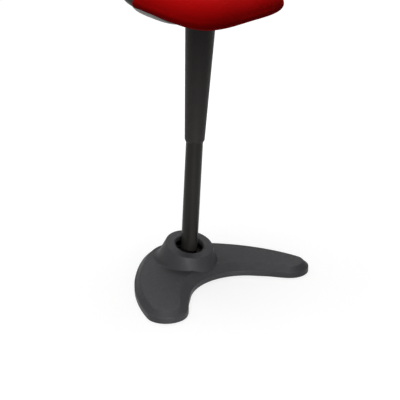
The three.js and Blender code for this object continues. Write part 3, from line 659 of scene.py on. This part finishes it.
def add_bosses(obj):
    profile = rounded((
        (BOSS_BORE, BOSS_LOW), (BOSS_RADIUS, BOSS_LOW), (BOSS_RADIUS, BOSS_HIGH), (BOSS_AXIS, BOSS_HIGH),
        (BOSS_AXIS, BOSS_BORE_HIGH), (BOSS_BORE, BOSS_BORE_HIGH),
    ), BOSS_EASE, PEG_EASE_STEPS)
    points, faces = lathe(profile, BOSS_STEPS)
    with edited(obj) as work:
        for x, y in BOSS_PLACES:
            for side in (-1, 1):
                boss = tidy_mesh(new_object("boss", points, faces, Matrix.Translation((x * side, y, 0))))
                work.from_mesh(boss.data)
                bpy.data.objects.remove(boss)
    smooth_faces(obj.data)


# Column
def mouth_ring():
    outer = MOUTH_RADIUS - FIT_GAP
    inner = outer - LINER_WALL
    return turned("mouth_ring", (
        (inner, LINER_LOW), (outer, LINER_LOW), (outer, LINER_HIGH), (inner, LINER_HIGH, LINER_LIP),
    ), ring_frame, LINER_EASE)


def column_tube():
    return turned("column_tube", (
        (TUBE_INNER, TUBE_LOW), (TUBE_RADIUS, TUBE_LOW), (TUBE_RADIUS, TUBE_HIGH), (TUBE_INNER, TUBE_HIGH),
    ), column_frame, TUBE_EASE)


def sleeve_radius(rise):
    slope = (SLEEVE_HIGH_RADIUS - SLEEVE_LOW_RADIUS) / (SLEEVE_HIGH - SLEEVE_LOW)
    return SLEEVE_LOW_RADIUS + slope * (rise - SLEEVE_LOW)


def tapered_sleeve():
    shoulder = SLEEVE_LOW + SLEEVE_CHAMFER_HEIGHT
    inner_low, inner_high = shoulder + SLEEVE_CHAMFER_HEIGHT, SLEEVE_HIGH - SLEEVE_FLANGE
    return turned("tapered_sleeve", (
        (SLEEVE_MOUTH, SLEEVE_LOW, SLEEVE_CRISP),
        (SLEEVE_LOW_RADIUS - SLEEVE_CHAMFER, SLEEVE_LOW, SLEEVE_CRISP),
        (sleeve_radius(shoulder), shoulder, SLEEVE_SHOULDER_EASE),
        (SLEEVE_HIGH_RADIUS, SLEEVE_HIGH, SLEEVE_TOP_EASE),
        (SLEEVE_HUB_HOLE, SLEEVE_HIGH, SLEEVE_HUB_EASE),
        (SLEEVE_HUB_HOLE, inner_high, SLEEVE_HUB_EASE),
        (sleeve_radius(inner_high) - SLEEVE_WALL, inner_high),
        (sleeve_radius(inner_low) - SLEEVE_WALL, inner_low),
        (SLEEVE_MOUTH, shoulder),
    ), column_frame, SLEEVE_EASE)


# Seat forms, in the seat's frame
def plan_point(plan, inset, height, angle):
    half, power, back = plan
    x, y = math.cos(angle), math.sin(angle)
    reach = (abs(x / half[0]) ** power + abs(y / half[1]) ** power) ** (-1 / power) - inset
    return (x * reach, y * reach + back, height)


def plan_ring(plan, inset, height, count):
    return [plan_point(plan, inset, height, i * 2 * math.pi / count) for i in range(count)]


def side_inset(height):
    """How far the cushion's side stands in from its rim at a height."""
    depth, inset = (CROWN_HEIGHT, CROWN_INSET) if height > 0 else (HULL_DEPTH, HULL_INSET)
    return inset * (1 - math.sqrt(max(0.0, 1 - (height / depth) ** 2)))


def crown_curve():
    """Smooth (inset, height) points over the crown, from the rim to near the middle."""
    shares = np.array(CROWN_SHARES)
    t = np.linspace(0, 1, len(shares))
    fine = np.linspace(0, 1, CROWN_STEPS * CROWN_FINENESS)
    curve = np.stack([np.interp(fine, t, shares[:, k]) for k in (0, 1)], 1)
    for _ in range(CROWN_ROUNDS):
        curve[1:-1] = (curve[:-2] + 2 * curve[1:-1] + curve[2:]) / 4
    picked = curve[::CROWN_FINENESS][1:]
    return [(SEAT_HALF[1] * a, CROWN_HEIGHT * b) for a, b in picked if a < CROWN_END]


def lower_angles(count):
    """Angles from straight down to level, for the round underside of the hull and the pan."""
    return np.radians(np.linspace(90, 0, count))


def cushion_body(name, grow, grid=PAD_GRID):
    count, hull_rings = grid
    rings = [plan_ring(SEAT_PLAN, HULL_INSET * (1 - math.cos(a)) - grow,
                       -(HULL_DEPTH + grow) * math.sin(a), count) for a in lower_angles(hull_rings)]
    rings += [plan_ring(SEAT_PLAN, inset - grow, height + grow * height / CROWN_HEIGHT, count)
              for inset, height in crown_curve()]
    return tidy_mesh(new_object(name, *loft(rings), seat_frame))


def pan_dish(name, shrink, lid=0.0):
    count, hull_rings = PAN_GRID
    rings = [plan_ring(PAN_PLAN, PAN_INSET * (1 - math.cos(a)) + shrink,
                       -PAN_DROP - PAN_DEPTH * math.sin(a) + shrink, count) for a in lower_angles(hull_rings)]
    if lid:
        rings.append([(x, y, z + lid) for x, y, z in rings[-1]])
    return tidy_mesh(new_object(name, *loft(rings), seat_frame))


def band_mesh(name, grow=0.0):
    """The band as a lofted strip. Grown, it is the tool that makes room for itself."""
    steps, levels = BAND_GRID
    middle = (BAND_LOW + BAND_HIGH) / 2
    half_angle = BAND_HALF_ANGLE + grow / SEAT_HALF[1]
    sections = []
    for i in range(steps + 1):
        angle = math.pi / 2 - half_angle + 2 * half_angle * i / steps
        to_end = (half_angle - abs(angle - math.pi / 2)) * SEAT_HALF[1]
        near_end = max(0.0, 1 - to_end / BAND_END)
        squeeze = math.sqrt(1 - BAND_END_SQUEEZE * near_end ** 2)
        thin = BAND_THICKNESS * 0.5 * (1 - squeeze)
        outer, inner = [], []
        for z in np.linspace(BAND_LOW - grow, BAND_HIGH + grow, levels):
            edge = max(0.0, 1 - min(z - BAND_LOW, BAND_HIGH - z) / BAND_EDGE) if grow == 0 else 0
            ease = BAND_EASE * (1 - math.sqrt(max(0.0, 1 - edge ** 2)))
            level = middle + (z - middle) * squeeze
            out = side_inset(level) + (ease + thin - (BAND_OVERCUT if grow else 0))
            back = side_inset(level) + (BAND_THICKNESS + grow - ease * BAND_INNER_EASE - thin)
            outer.append(plan_point(SEAT_PLAN, out, level, angle))
            inner.append(plan_point(SEAT_PLAN, back, level, angle))
        sections.append(outer + inner[::-1])
    return tidy_mesh(new_object(name, *loft(sections), seat_frame))


def seat_pan():
    inner = pan_dish("pan_inner", PAN_WALL, PAN_WALL + FIT_GAP)
    hull = cushion_body("pan_hull", PAN_GAP, PAN_GRID)
    strip = band_mesh("pan_strip", PAN_BAND_GAP)
    return weigh_normals(combined(pan_dish("pan_tray", 0), "DIFFERENCE", inner, hull, strip))


# Cushion: puffed by cloth pressure, drawn to its firm hull, then hollowed for the band and the board
def get_points(mesh):
    """The mesh's points in the seat's frame."""
    flat = np.empty(len(mesh.vertices) * 3)
    mesh.vertices.foreach_get("co", flat)
    turned_back = np.array(seat_frame.inverted())
    return (flat.reshape(-1, 3) / MM) @ turned_back[:3, :3].T + turned_back[:3, 3]


def set_points(mesh, points):
    forward = np.array(seat_frame)
    mesh.vertices.foreach_set("co", ((points @ forward[:3, :3].T + forward[:3, 3]) * MM).ravel())
    mesh.update()


def pad_normals(mesh):
    normals = np.array([v.normal[:] for v in mesh.vertices])
    return normals @ np.array(seat_frame.inverted())[:3, :3].T


def swell_out(obj, distance):
    set_points(obj.data, get_points(obj.data) + pad_normals(obj.data) * np.reshape(distance, (-1, 1)))


def evened(mesh, values):
    """Averages a value per point with its neighbours, so that the swelling stays soft."""
    ends = np.empty(len(mesh.edges) * 2, int)
    mesh.edges.foreach_get("vertices", ends)
    a, b = ends.reshape(-1, 2).T
    count = np.bincount(ends, minlength=len(values))
    for _ in range(EVEN_ROUNDS):
        total = np.bincount(a, values[b], len(values)) + np.bincount(b, values[a], len(values))
        values = (values + total / count) / 2
    return values


def puff(obj):
    """Swells the pad by cloth pressure, held where it rests. No point moves further than the cap."""
    rest = get_points(obj.data)
    held = obj.vertex_groups.new(name="held")
    held.add([int(i) for i in np.flatnonzero(rest[:, 2] < PUFF_HOLD)], 1.0, "REPLACE")
    cloth = obj.modifiers.new("cloth", "CLOTH")
    for key, value in CLOTH.items():
        setattr(cloth.settings, key, value)
    cloth.settings.effector_weights.gravity = 0
    cloth.point_cache.frame_start = 1
    cloth.point_cache.frame_end = PUFF_FRAMES
    for number in range(1, PUFF_FRAMES + 1):
        bpy.context.scene.frame_set(number)
    swollen = evaluated_mesh(obj)
    moved = get_points(swollen) - rest
    bpy.data.meshes.remove(swollen)
    obj.modifiers.clear()
    obj.vertex_groups.clear()
    bpy.context.scene.frame_set(1)
    swell = evened(obj.data, (moved * pad_normals(obj.data)).sum(axis=1))
    softness = np.clip(PUFF_SHARE * (swell - np.median(swell)), -PUFF_SINK, PUFF_CAP - PUFF_SHRINK)
    swell_out(obj, PUFF_SHRINK + softness)


def smooth_step(x):
    t = np.clip(x, 0, 1)
    return t * t * (3 - 2 * t)


def plan_reach(points):
    """Polar angle, distance and the rim's own distance for points in the seat's frame."""
    x, y = points[:, 0], points[:, 1] - SEAT_BACK
    angle = np.arctan2(y, x)
    cx, cy = np.abs(np.cos(angle)) / SEAT_HALF[0], np.abs(np.sin(angle)) / SEAT_HALF[1]
    return angle, np.hypot(x, y), (cx ** SEAT_POWER + cy ** SEAT_POWER) ** (-1 / SEAT_POWER)


def draw_to_hull(points):
    """Lays the side and the underside on the firm hull. Further up, the crown keeps its puffed shape."""
    angle, far, reach = plan_reach(points)
    inset, z = reach - far, points[:, 2]
    turn = np.arctan2(-z / HULL_DEPTH, 1 - inset / HULL_INSET)
    flat = (z < 0) & (inset >= HULL_INSET)
    above = CROWN_INSET * (1 - np.sqrt(1 - np.clip(z / CROWN_HEIGHT, 0, 1) ** 2))
    below = np.where(flat, -HULL_DEPTH, -HULL_DEPTH * np.sin(turn))
    beside = np.where(z < 0, HULL_INSET * (1 - np.cos(turn)), above)
    drawn_inset = np.where(flat, inset, beside + FABRIC_ROOM)
    drawn_z = np.where(z < 0, below + FABRIC_ROOM * (1 - 2 * smooth_step(inset / HULL_INSET)), z)
    share = 1 - smooth_step(z / HULL_FADE)
    moved = far + share * (reach - drawn_inset - far)
    return np.column_stack([
        np.cos(angle) * moved, np.sin(angle) * moved + SEAT_BACK, z + share * (drawn_z - z),
    ])


def tuck_round_band(points):
    """Rolls the fabric in a little along the band's border."""
    angle, far, _ = plan_reach(points)
    from_rear = np.abs((angle - math.pi / 2 + math.pi) % (2 * math.pi) - math.pi)
    sideways = (from_rear - BAND_HALF_ANGLE) * far
    upright = np.maximum(BAND_LOW - points[:, 2], points[:, 2] - BAND_HIGH)
    tuck = BAND_TUCK * (1 - smooth_step(np.maximum(sideways, upright) / BAND_GROOVE))
    near_rim = smooth_step(far / SEAT_HALF[1])
    return points - np.column_stack([np.cos(angle), np.sin(angle), 0 * angle]) * (tuck * near_rim)[:, None]


def board_rooms():
    """Tools for the board's room in the cushion, and for the opening under it that the pan covers."""
    corners = rounded_box(BOARD_HALF[0] + FIT_GAP, BOARD_HALF[1] + FIT_GAP, BOARD_CORNER)
    low, high = FABRIC_SKIN - HULL_DEPTH - FABRIC_LAP, BOARD_TOP + 2 * FIT_GAP
    room = loft([[(x, y + SEAT_BACK, z) for x, y in corners] for z in (low, high)])
    opening = loft([plan_ring(PAN_PLAN, PAN_COVERED, z, OPENING_STEPS)
                    for z in (-2 * HULL_DEPTH, low + FIT_GAP)])
    return [tidy_mesh(new_object(name, *made, seat_frame))
            for name, made in (("board_room", room), ("board_opening", opening))]


def seat_pad():
    obj = cushion_body("seat_pad", -PUFF_SHRINK)
    with_modifier(obj, "REMESH", mode="VOXEL", voxel_size=PUFF_VOXEL * MM, use_smooth_shade=True)
    puff(obj)
    with_modifier(obj, "SUBSURF", levels=1, render_levels=1)
    set_points(obj.data, tuck_round_band(draw_to_hull(get_points(obj.data))))
    return weigh_normals(combined(obj, "DIFFERENCE", *board_rooms(), band_mesh("band_room", BAND_ROOM)))


# Lever
def extruded(name, loop, half_width, ease, place):
    """A flat profile in (x, z) drawn out along y, with eased long edges."""
    soft = ease * EDGE_SHARE
    layers = [(half_width, ease), (half_width - soft, soft), (half_width - ease, 0)]
    layers = [(-y, cut) for y, cut in layers] + layers[::-1]
    loop = [Vector(p) for p in loop]
    rings = []
    for y, cut in layers:
        ring = []
        for i, p in enumerate(loop):
            run = (loop[(i + 1) % len(loop)] - loop[i - 1]).normalized()
            q = p + Vector((-run.y, run.x)) * cut
            ring.append((q.x, y, q.y))
        rings.append(ring)
    return tidy_mesh(new_object(name, *loft(rings), place))


def peg(name, radius, half_length, place, ease=0.0):
    """A round peg along the Z of its place."""
    profile = (
        (AXIS_HOLE, -half_length), (radius, -half_length), (radius, half_length), (AXIS_HOLE, half_length),
    )
    points, faces = lathe(rounded(profile, ease, PEG_EASE_STEPS) if ease else profile, PEG_STEPS)
    return tidy_mesh(new_object(name, points, faces, place))


def lever_bar():
    line = [Vector((x, LEVER_RISE + z)) for x, z in LEVER_LINE]
    half = Vector((0, LEVER_HALF_THICKNESS))
    strip = [tuple(p - half) for p in line] + [tuple(p + half) for p in line[::-1]]
    bar = extruded("lever_bar", rounded(strip, LEVER_ROUND), LEVER_HALF_WIDTH, LEVER_EASE, swivel_frame)
    pivot = swivel_frame @ Matrix.Translation((LEVER_PIVOT_X, 0, LEVER_RISE))
    pivot = pivot @ Matrix.Rotation(math.pi / 2, 4, "X")
    boss = peg("lever_boss", LEVER_BOSS_RADIUS, LEVER_HALF_WIDTH, pivot, LEVER_BOSS_EASE)
    hole = peg("lever_hole", LEVER_PIN_HOLE, LEVER_PIN_HALF, pivot)
    combined(bar, "UNION", boss)
    return weigh_normals(combined(bar, "DIFFERENCE", hole))


def lever_paddle():
    middle, half = (GRIP_START + GRIP_END) / 2, (GRIP_END - GRIP_START) / 2
    rise = LEVER_RISE - LEVER_DROP
    corners = rounded_box(half, GRIP_HALF_WIDTH, GRIP_CORNER)
    rings = []
    for i in range(GRIP_LAYERS + 1):
        a = -math.pi / 2 + math.pi * i / GRIP_LAYERS
        level = GRIP_HALF_THICKNESS * math.copysign(abs(math.sin(a)) ** GRIP_FULLNESS, math.sin(a))
        inset = GRIP_INSET * (1 - abs(math.cos(a)) ** GRIP_SIDE_FULLNESS)
        shrink_x, shrink_y = (half - inset) / half, (GRIP_HALF_WIDTH - inset) / GRIP_HALF_WIDTH
        rings.append([(middle + x * shrink_x, y * shrink_y, rise + level) for x, y in corners])
    grip = tidy_mesh(new_object("lever_paddle", *loft(rings), swivel_frame))
    wide, thick = LEVER_HALF_WIDTH + FIT_GAP, LEVER_HALF_THICKNESS + FIT_GAP
    section = ((-wide, -thick), (wide, -thick), (wide, thick), (-wide, thick))
    socket = loft([[(x, y, rise + z) for y, z in section]
                   for x in (GRIP_START - SOCKET_LEAD, LEVER_LINE[-1][0] + FIT_GAP)])
    socket = tidy_mesh(new_object("lever_socket", *socket, swivel_frame))
    return weigh_normals(combined(grip, "DIFFERENCE", socket))


# Node helpers
def fill(tree, node, inputs):
    """Gives each input a number or links it to another node's output."""
    for key, value in dict(inputs).items():
        if isinstance(value, bpy.types.NodeSocket):
            tree.links.new(value, node.inputs[key])
        else:
            node.inputs[key].default_value = value


def add_node(tree, kind, inputs=(), **settings):
    node = tree.nodes.new("ShaderNode" + kind)
    for key, value in settings.items():
        setattr(node, key, value)
    fill(tree, node, inputs)
    return node


def calc(tree, operation, *values):
    return add_node(tree, "Math", enumerate(values), operation=operation).outputs[0]


def noise(tree, coords, scale, detail=3.0, roughness=0.55):
    inputs = {"Vector": coords, "Scale": scale, "Detail": detail, "Roughness": roughness}
    return add_node(tree, "TexNoise", inputs).outputs["Fac"]


def remap(tree, value, from_range, to_range):
    inputs = dict(zip(("From Min", "From Max", "To Min", "To Max"), (*from_range, *to_range)))
    return add_node(tree, "MapRange", {"Value": value, **inputs}).outputs["Result"]


def ramp(tree, value, places, colors):
    node = add_node(tree, "ValToRGB", {"Fac": value})
    for element, place, color in zip(node.color_ramp.elements, places, colors):
        element.position = place
        element.color = color
    return node.outputs["Color"]


def mixed(tree, factor, first, second, blend_type="MIX"):
    inputs = {"Factor": factor, 6: first, 7: second}
    return add_node(tree, "Mix", inputs, data_type="RGBA", blend_type=blend_type).outputs[2]


def bumped(tree, height, strength, depth):
    inputs = {"Height": height, "Strength": strength, "Distance": depth * MM}
    return add_node(tree, "Bump", inputs).outputs["Normal"]


def new_material(name):
    mat = bpy.data.materials.new(name)
    mat.use_nodes = True
    return mat, mat.node_tree, mat.node_tree.nodes["Principled BSDF"]


def tint(color, amount):
    return tuple(min(1.0, c * amount) for c in color) + (1.0,)


# Materials
def worn_and_highlit_edges(tree, coords):
    """1 on edges, unevenly, and 0 on the flats: the mask for edges lightened as wear and as a painted
    highlight.
    """
    bevel = add_node(tree, "Bevel", {"Radius": EDGE_WEAR_HIGHLIGHT_WIDTH * MM}, samples=4)
    geometry = add_node(tree, "NewGeometry")
    dot = add_node(tree, "VectorMath", {0: bevel.outputs["Normal"], 1: geometry.outputs["Normal"]},
                   operation="DOT_PRODUCT")
    wear_and_highlight_mask = remap(tree, dot.outputs["Value"], EDGE_WEAR_HIGHLIGHT_FACING, (0.0, 1.0))
    uneven = remap(tree, noise(tree, coords, EDGE_WEAR_HIGHLIGHT_SCALE), NOISE_RANGE, EDGE_WEAR_HIGHLIGHT_SPREAD)
    return calc(tree, "MULTIPLY", wear_and_highlight_mask, uneven)


def node_paint(name, color, roughness, metallic=0.0, specular=0.5, mottle=0.08, mottle_scale=60,
               grain_scale=1500, grain_depth=0.05, rough_spread=0.06, edge_wear_highlight=0.0):
    """A moulded or painted surface: mottled colour, uneven roughness, fine grain, and edges lightened as wear
    and as a painted highlight.
    """
    mat, tree, shader = new_material(name)
    coords = add_node(tree, "TexCoord").outputs["Object"]
    shade = ramp(tree, noise(tree, coords, mottle_scale), NOISE_RANGE,
                 (tint(color, 1 - mottle), tint(color, 1 + mottle)))
    if edge_wear_highlight > 0:
        # Edges are lightened here, partly as wear and partly as a painted highlight.
        shade = mixed(tree, worn_and_highlit_edges(tree, coords), shade, tint(color, 1 + edge_wear_highlight))
    fill(tree, shader, {
        "Metallic": metallic,
        "Specular IOR Level": specular,
        "Base Color": shade,
        "Roughness": remap(tree, noise(tree, coords, mottle_scale * ROUGH_SCALE), NOISE_RANGE,
                           (roughness - rough_spread, roughness + rough_spread)),
        "Normal": bumped(tree, noise(tree, coords, grain_scale, GRAIN_DETAIL), GRAIN_STRENGTH, grain_depth),
    })
    return mat


def weave_group():
    """A plain weave's height from two coordinates counted in threads."""
    tree = bpy.data.node_groups.new("plain_weave", "ShaderNodeTree")
    for name, side in (("U", "INPUT"), ("V", "INPUT"), ("Height", "OUTPUT")):
        tree.interface.new_socket(name, in_out=side, socket_type="NodeSocketFloat")
    source = tree.nodes.new("NodeGroupInput")
    sink = tree.nodes.new("NodeGroupOutput")
    u, v = source.outputs["U"], source.outputs["V"]
    across, down = (calc(tree, "ABSOLUTE", calc(tree, "SINE", calc(tree, "MULTIPLY", c, math.pi)))
                    for c in (u, v))
    cell = calc(tree, "ADD", calc(tree, "FLOOR", u), calc(tree, "FLOOR", v))
    odd = calc(tree, "MULTIPLY", calc(tree, "ABSOLUTE", calc(tree, "MODULO", cell, 2.0)), WEAVE_DIP)
    over = calc(tree, "MULTIPLY", across, calc(tree, "ADD", odd, 1 - WEAVE_DIP))
    under = calc(tree, "MULTIPLY", down, calc(tree, "SUBTRACT", 1.0, odd))
    fill(tree, sink, {"Height": calc(tree, "MAXIMUM", over, under)})
    return tree


def fabric(name, color):
    """Woven wool: a weave laid on by the surface's own direction, threads painted darker in its dips as shade
    and lighter on its crests as highlight, fuzz, sheen and a soft random change of tone.
    """
    mat, tree, shader = new_material(name)
    coords = add_node(tree, "TexCoord").outputs
    counted = add_node(tree, "VectorMath", {0: coords["Object"], "Scale": 1 / (THREAD * MM)},
                       operation="SCALE")
    place = add_node(tree, "SeparateXYZ", {0: counted.outputs["Vector"]}).outputs
    facing = add_node(tree, "SeparateXYZ", {0: coords["Normal"]}).outputs
    group = weave_group()
    height = 0.0
    for axis, u, v in ("XYZ", "YXZ", "ZXY"):
        weave = add_node(tree, "Group", {"U": place[u], "V": place[v]}, node_tree=group).outputs["Height"]
        weight = calc(tree, "POWER", calc(tree, "ABSOLUTE", facing[axis]), WEAVE_TURN)
        height = calc(tree, "MULTIPLY_ADD", weave, weight, height)
    hairs = noise(tree, coords["Object"], FUZZ_SCALE, roughness=PLAIN_NOISE)
    fuzz = calc(tree, "MULTIPLY_ADD", hairs, FUZZ_SHARE, height)
    # The weave's height colours the threads: painted shade in its dips and painted highlight on its crests,
    # mixed with random fuzz tone.
    threads = ramp(tree, fuzz, THREAD_PLACES, [tint(color, shade) for shade in WEAVE_SHADE_AND_HIGHLIGHT])
    patches = noise(tree, coords["Object"], PATCH_SCALE, PATCH_DETAIL, PLAIN_NOISE)
    patches = ramp(tree, patches, NOISE_RANGE, (PATCH_SHADE, WHITE))
    fill(tree, shader, {
        "Roughness": 0.9,
        "Specular IOR Level": 0.04,
        "Sheen Weight": 0.05,
        "Sheen Roughness": 0.5,
        "Sheen Tint": (1.0, 0.03, 0.03, 1.0),
        "Base Color": mixed(tree, 1.0, threads, patches, "MULTIPLY"),
        "Normal": bumped(tree, fuzz, WEAVE_STRENGTH, WEAVE_DEPTH),
    })
    return mat


def srgb(r, g, b):
    return tuple((c / 255 / 12.92) if c <= 10 else ((c / 255 + 0.055) / 1.055) ** 2.4 for c in (r, g, b))


# The cover's edges are lightened as wear and as a painted highlight along the top of its wall.
cover_look = node_paint("charcoal_moulding", srgb(66, 65, 68), 0.52, specular=0.28, edge_wear_highlight=0.6,
                        mottle=0.05, grain_scale=1400, grain_depth=0.12)
rubber_look = node_paint("black_rubber", srgb(30, 30, 30), 0.8, grain_scale=900, grain_depth=0.1)
steel_look = node_paint("bare_steel", (0.5, 0.5, 0.51), 0.34, 1.0, grain_scale=700, mottle=0.1)
iron_look = node_paint("cast_iron", (0.05, 0.05, 0.053), 0.6, 0.6, grain_scale=500, grain_depth=0.3)
tube_look = node_paint("black_enamel", srgb(36, 35, 33), 0.36, specular=0.16, mottle=0.04, grain_scale=420,
                       rough_spread=0.04)
zinc_look = node_paint("zinc_plate", (0.6, 0.61, 0.62), 0.32, 1.0, grain_scale=900)
nylon_look = node_paint("nylon", (0.62, 0.6, 0.52), 0.5, grain_scale=1000)
sleeve_look = node_paint("black_moulding", srgb(56, 54, 53), 0.52, specular=0.15, edge_wear_highlight=0.3, mottle=0.04,
                         grain_scale=1600, grain_depth=0.08)
pan_look = node_paint("grey_tray", srgb(190, 184, 184), 0.5, edge_wear_highlight=0.1, mottle=0.03, grain_depth=0.06)
band_look = node_paint("band_moulding", srgb(44, 42, 40), 0.55, edge_wear_highlight=0.3, mottle=0.05,
                       grain_scale=1300, grain_depth=0.08)
wood_look = node_paint("seat_ply", (0.42, 0.28, 0.14), 0.65, mottle=0.18, mottle_scale=40, grain_scale=300)
fabric_look = fabric("red_wool", srgb(168, 3, 4))

# Camera
camera_data = bpy.data.cameras.new("camera")
camera_data.lens = CAMERA_LENS
camera_data.sensor_width = SENSOR_WIDTH
camera = add_object("camera", camera_data)
right, up = Vector(CAMERA_RIGHT).normalized(), Vector(CAMERA_UP).normalized()
facing = Matrix((right, up, right.cross(up))).transposed().to_4x4()
camera.matrix_world = Matrix.Translation(Vector(CAMERA_PLACE) * MM) @ facing
bpy.context.scene.camera = camera

# Pieces
settle(base_shell(), "base", "cover_plastic", cover_look, "base_cover")
settle(mouth_ring(), "base", "black_rubber", rubber_look, "collar_liner")
settle(column_tube(), "column", "black_steel", tube_look, "stand_tube")
settle(tapered_sleeve(), "seat", "sleeve_plastic", sleeve_look, "column_sleeve")
settle(seat_pan(), "seat", "pan_plastic", pan_look, "seat_pan")
settle(weigh_normals(band_mesh("rear_trim")), "seat", "band_plastic", band_look, "rear_band")
settle(lever_bar(), "lever", "black_steel", tube_look, "release_lever")
settle(lever_paddle(), "lever", "sleeve_plastic", sleeve_look, "lever_grip")
cushion = seat_pad()
settle(cushion, "seat", "red_fabric", fabric_look, "seat_cushion")

# CAD nodes that stay
kept_looks = {
    "floor_mat": rubber_look, "ballast_plate": steel_look, "joint_cup": iron_look,
    "joint_retainer": iron_look, "joint_rubber": rubber_look, "pivot_foot": steel_look,
    "rod_plug": steel_look, "race_lower": steel_look, "race_upper": steel_look, "ball_cage": zinc_look,
    "guide_bush": nylon_look, "gas_rod": steel_look, "rod_clip": zinc_look, "piston": rubber_look,
    "gas_cylinder": tube_look, "cylinder_end_cap": steel_look, "seat_bracket": tube_look,
    "lever_pin": zinc_look, "valve_pin": steel_look, "seat_board": wood_look,
}
for name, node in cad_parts.items():
    look = kept_looks.get(name) or (zinc_look if "screw" in name or "bolt" in name else None)
    if look:
        node.data.materials.clear()
        node.data.materials.append(look)


# Floor, world and lamps
def floor_look():
    """Pale floor that shows white away from the object and keeps its shadow near it."""
    mat, tree, _ = new_material("pale_floor")
    tree.nodes.clear()
    rays = add_node(tree, "LightPath").outputs
    mirrored = calc(tree, "MAXIMUM", rays["Is Glossy Ray"], rays["Is Transmission Ray"])
    seen = calc(tree, "MAXIMUM", rays["Is Camera Ray"], mirrored)
    coords = add_node(tree, "TexCoord").outputs["Object"]
    far = add_node(tree, "VectorMath", {0: coords}, operation="LENGTH").outputs["Value"]
    diffuse = add_node(tree, "BsdfDiffuse", {"Color": (FLOOR_ALBEDO, FLOOR_ALBEDO, FLOOR_ALBEDO, 1)})
    strength = calc(tree, "MULTIPLY", seen, remap(tree, far, FLOOR_GLOW[:2], FLOOR_GLOW[2:]))
    glow = add_node(tree, "Emission", {"Color": WHITE, "Strength": strength})
    both = add_node(tree, "AddShader", {0: diffuse.outputs[0], 1: glow.outputs[0]})
    add_node(tree, "OutputMaterial", {"Surface": both.outputs[0]})
    return mat


def add_floor():
    corners = ((-1, -1), (1, -1), (1, 1), (-1, 1))
    mesh = bpy.data.meshes.new("floor")
    mesh.from_pydata([(x * FLOOR_HALF, y * FLOOR_HALF, 0) for x, y in corners], [], [(0, 1, 2, 3)])
    mesh.materials.append(floor_look())
    add_object("floor", mesh)


def add_world():
    """White to the camera, dim in mirrors, and nearly dark as a light."""
    world = bpy.data.worlds.new("studio")
    bpy.context.scene.world = world
    world.use_nodes = True
    tree = world.node_tree
    rays = add_node(tree, "LightPath").outputs
    mirrored = calc(tree, "MULTIPLY_ADD", rays["Is Glossy Ray"], WORLD_MIRRORED - WORLD_LIGHT, WORLD_LIGHT)
    strength = calc(tree, "MAXIMUM", mirrored, rays["Is Camera Ray"])
    fill(tree, tree.nodes["Background"], {"Color": WHITE, "Strength": strength})


def lamp(name, direction, power, distance=2.4, spread=180, target=(0, 0, 0.35), size=1.2):
    """A square softbox seen from the target at (azimuth from the front, elevation) in degrees."""
    data = bpy.data.lights.new(name, "AREA")
    data.size = size
    data.energy = power
    data.spread = math.radians(spread)
    azimuth, elevation = map(math.radians, direction)
    away = Vector((math.sin(azimuth) * math.cos(elevation), -math.cos(azimuth) * math.cos(elevation),
                   math.sin(elevation)))
    place = Matrix.Translation(Vector(target) + away * distance)
    add_object(name, data).matrix_world = place @ away.to_track_quat("Z", "Y").to_matrix().to_4x4()


add_floor()
add_world()
lamp("key", (-60, 40), 9)
lamp("overhead", (0, 89), 36)
lamp("rear_left", (-150, 40), 6)
lamp("rear_right", (120, 40), 7)
lamp("rear", (160, 40), 8)
lamp("low_front", (-30, 3), 0.55, distance=1.6, spread=30, target=(0, 0, 0.12), size=0.4)

bpy.context.scene.view_settings.view_transform = "Standard"
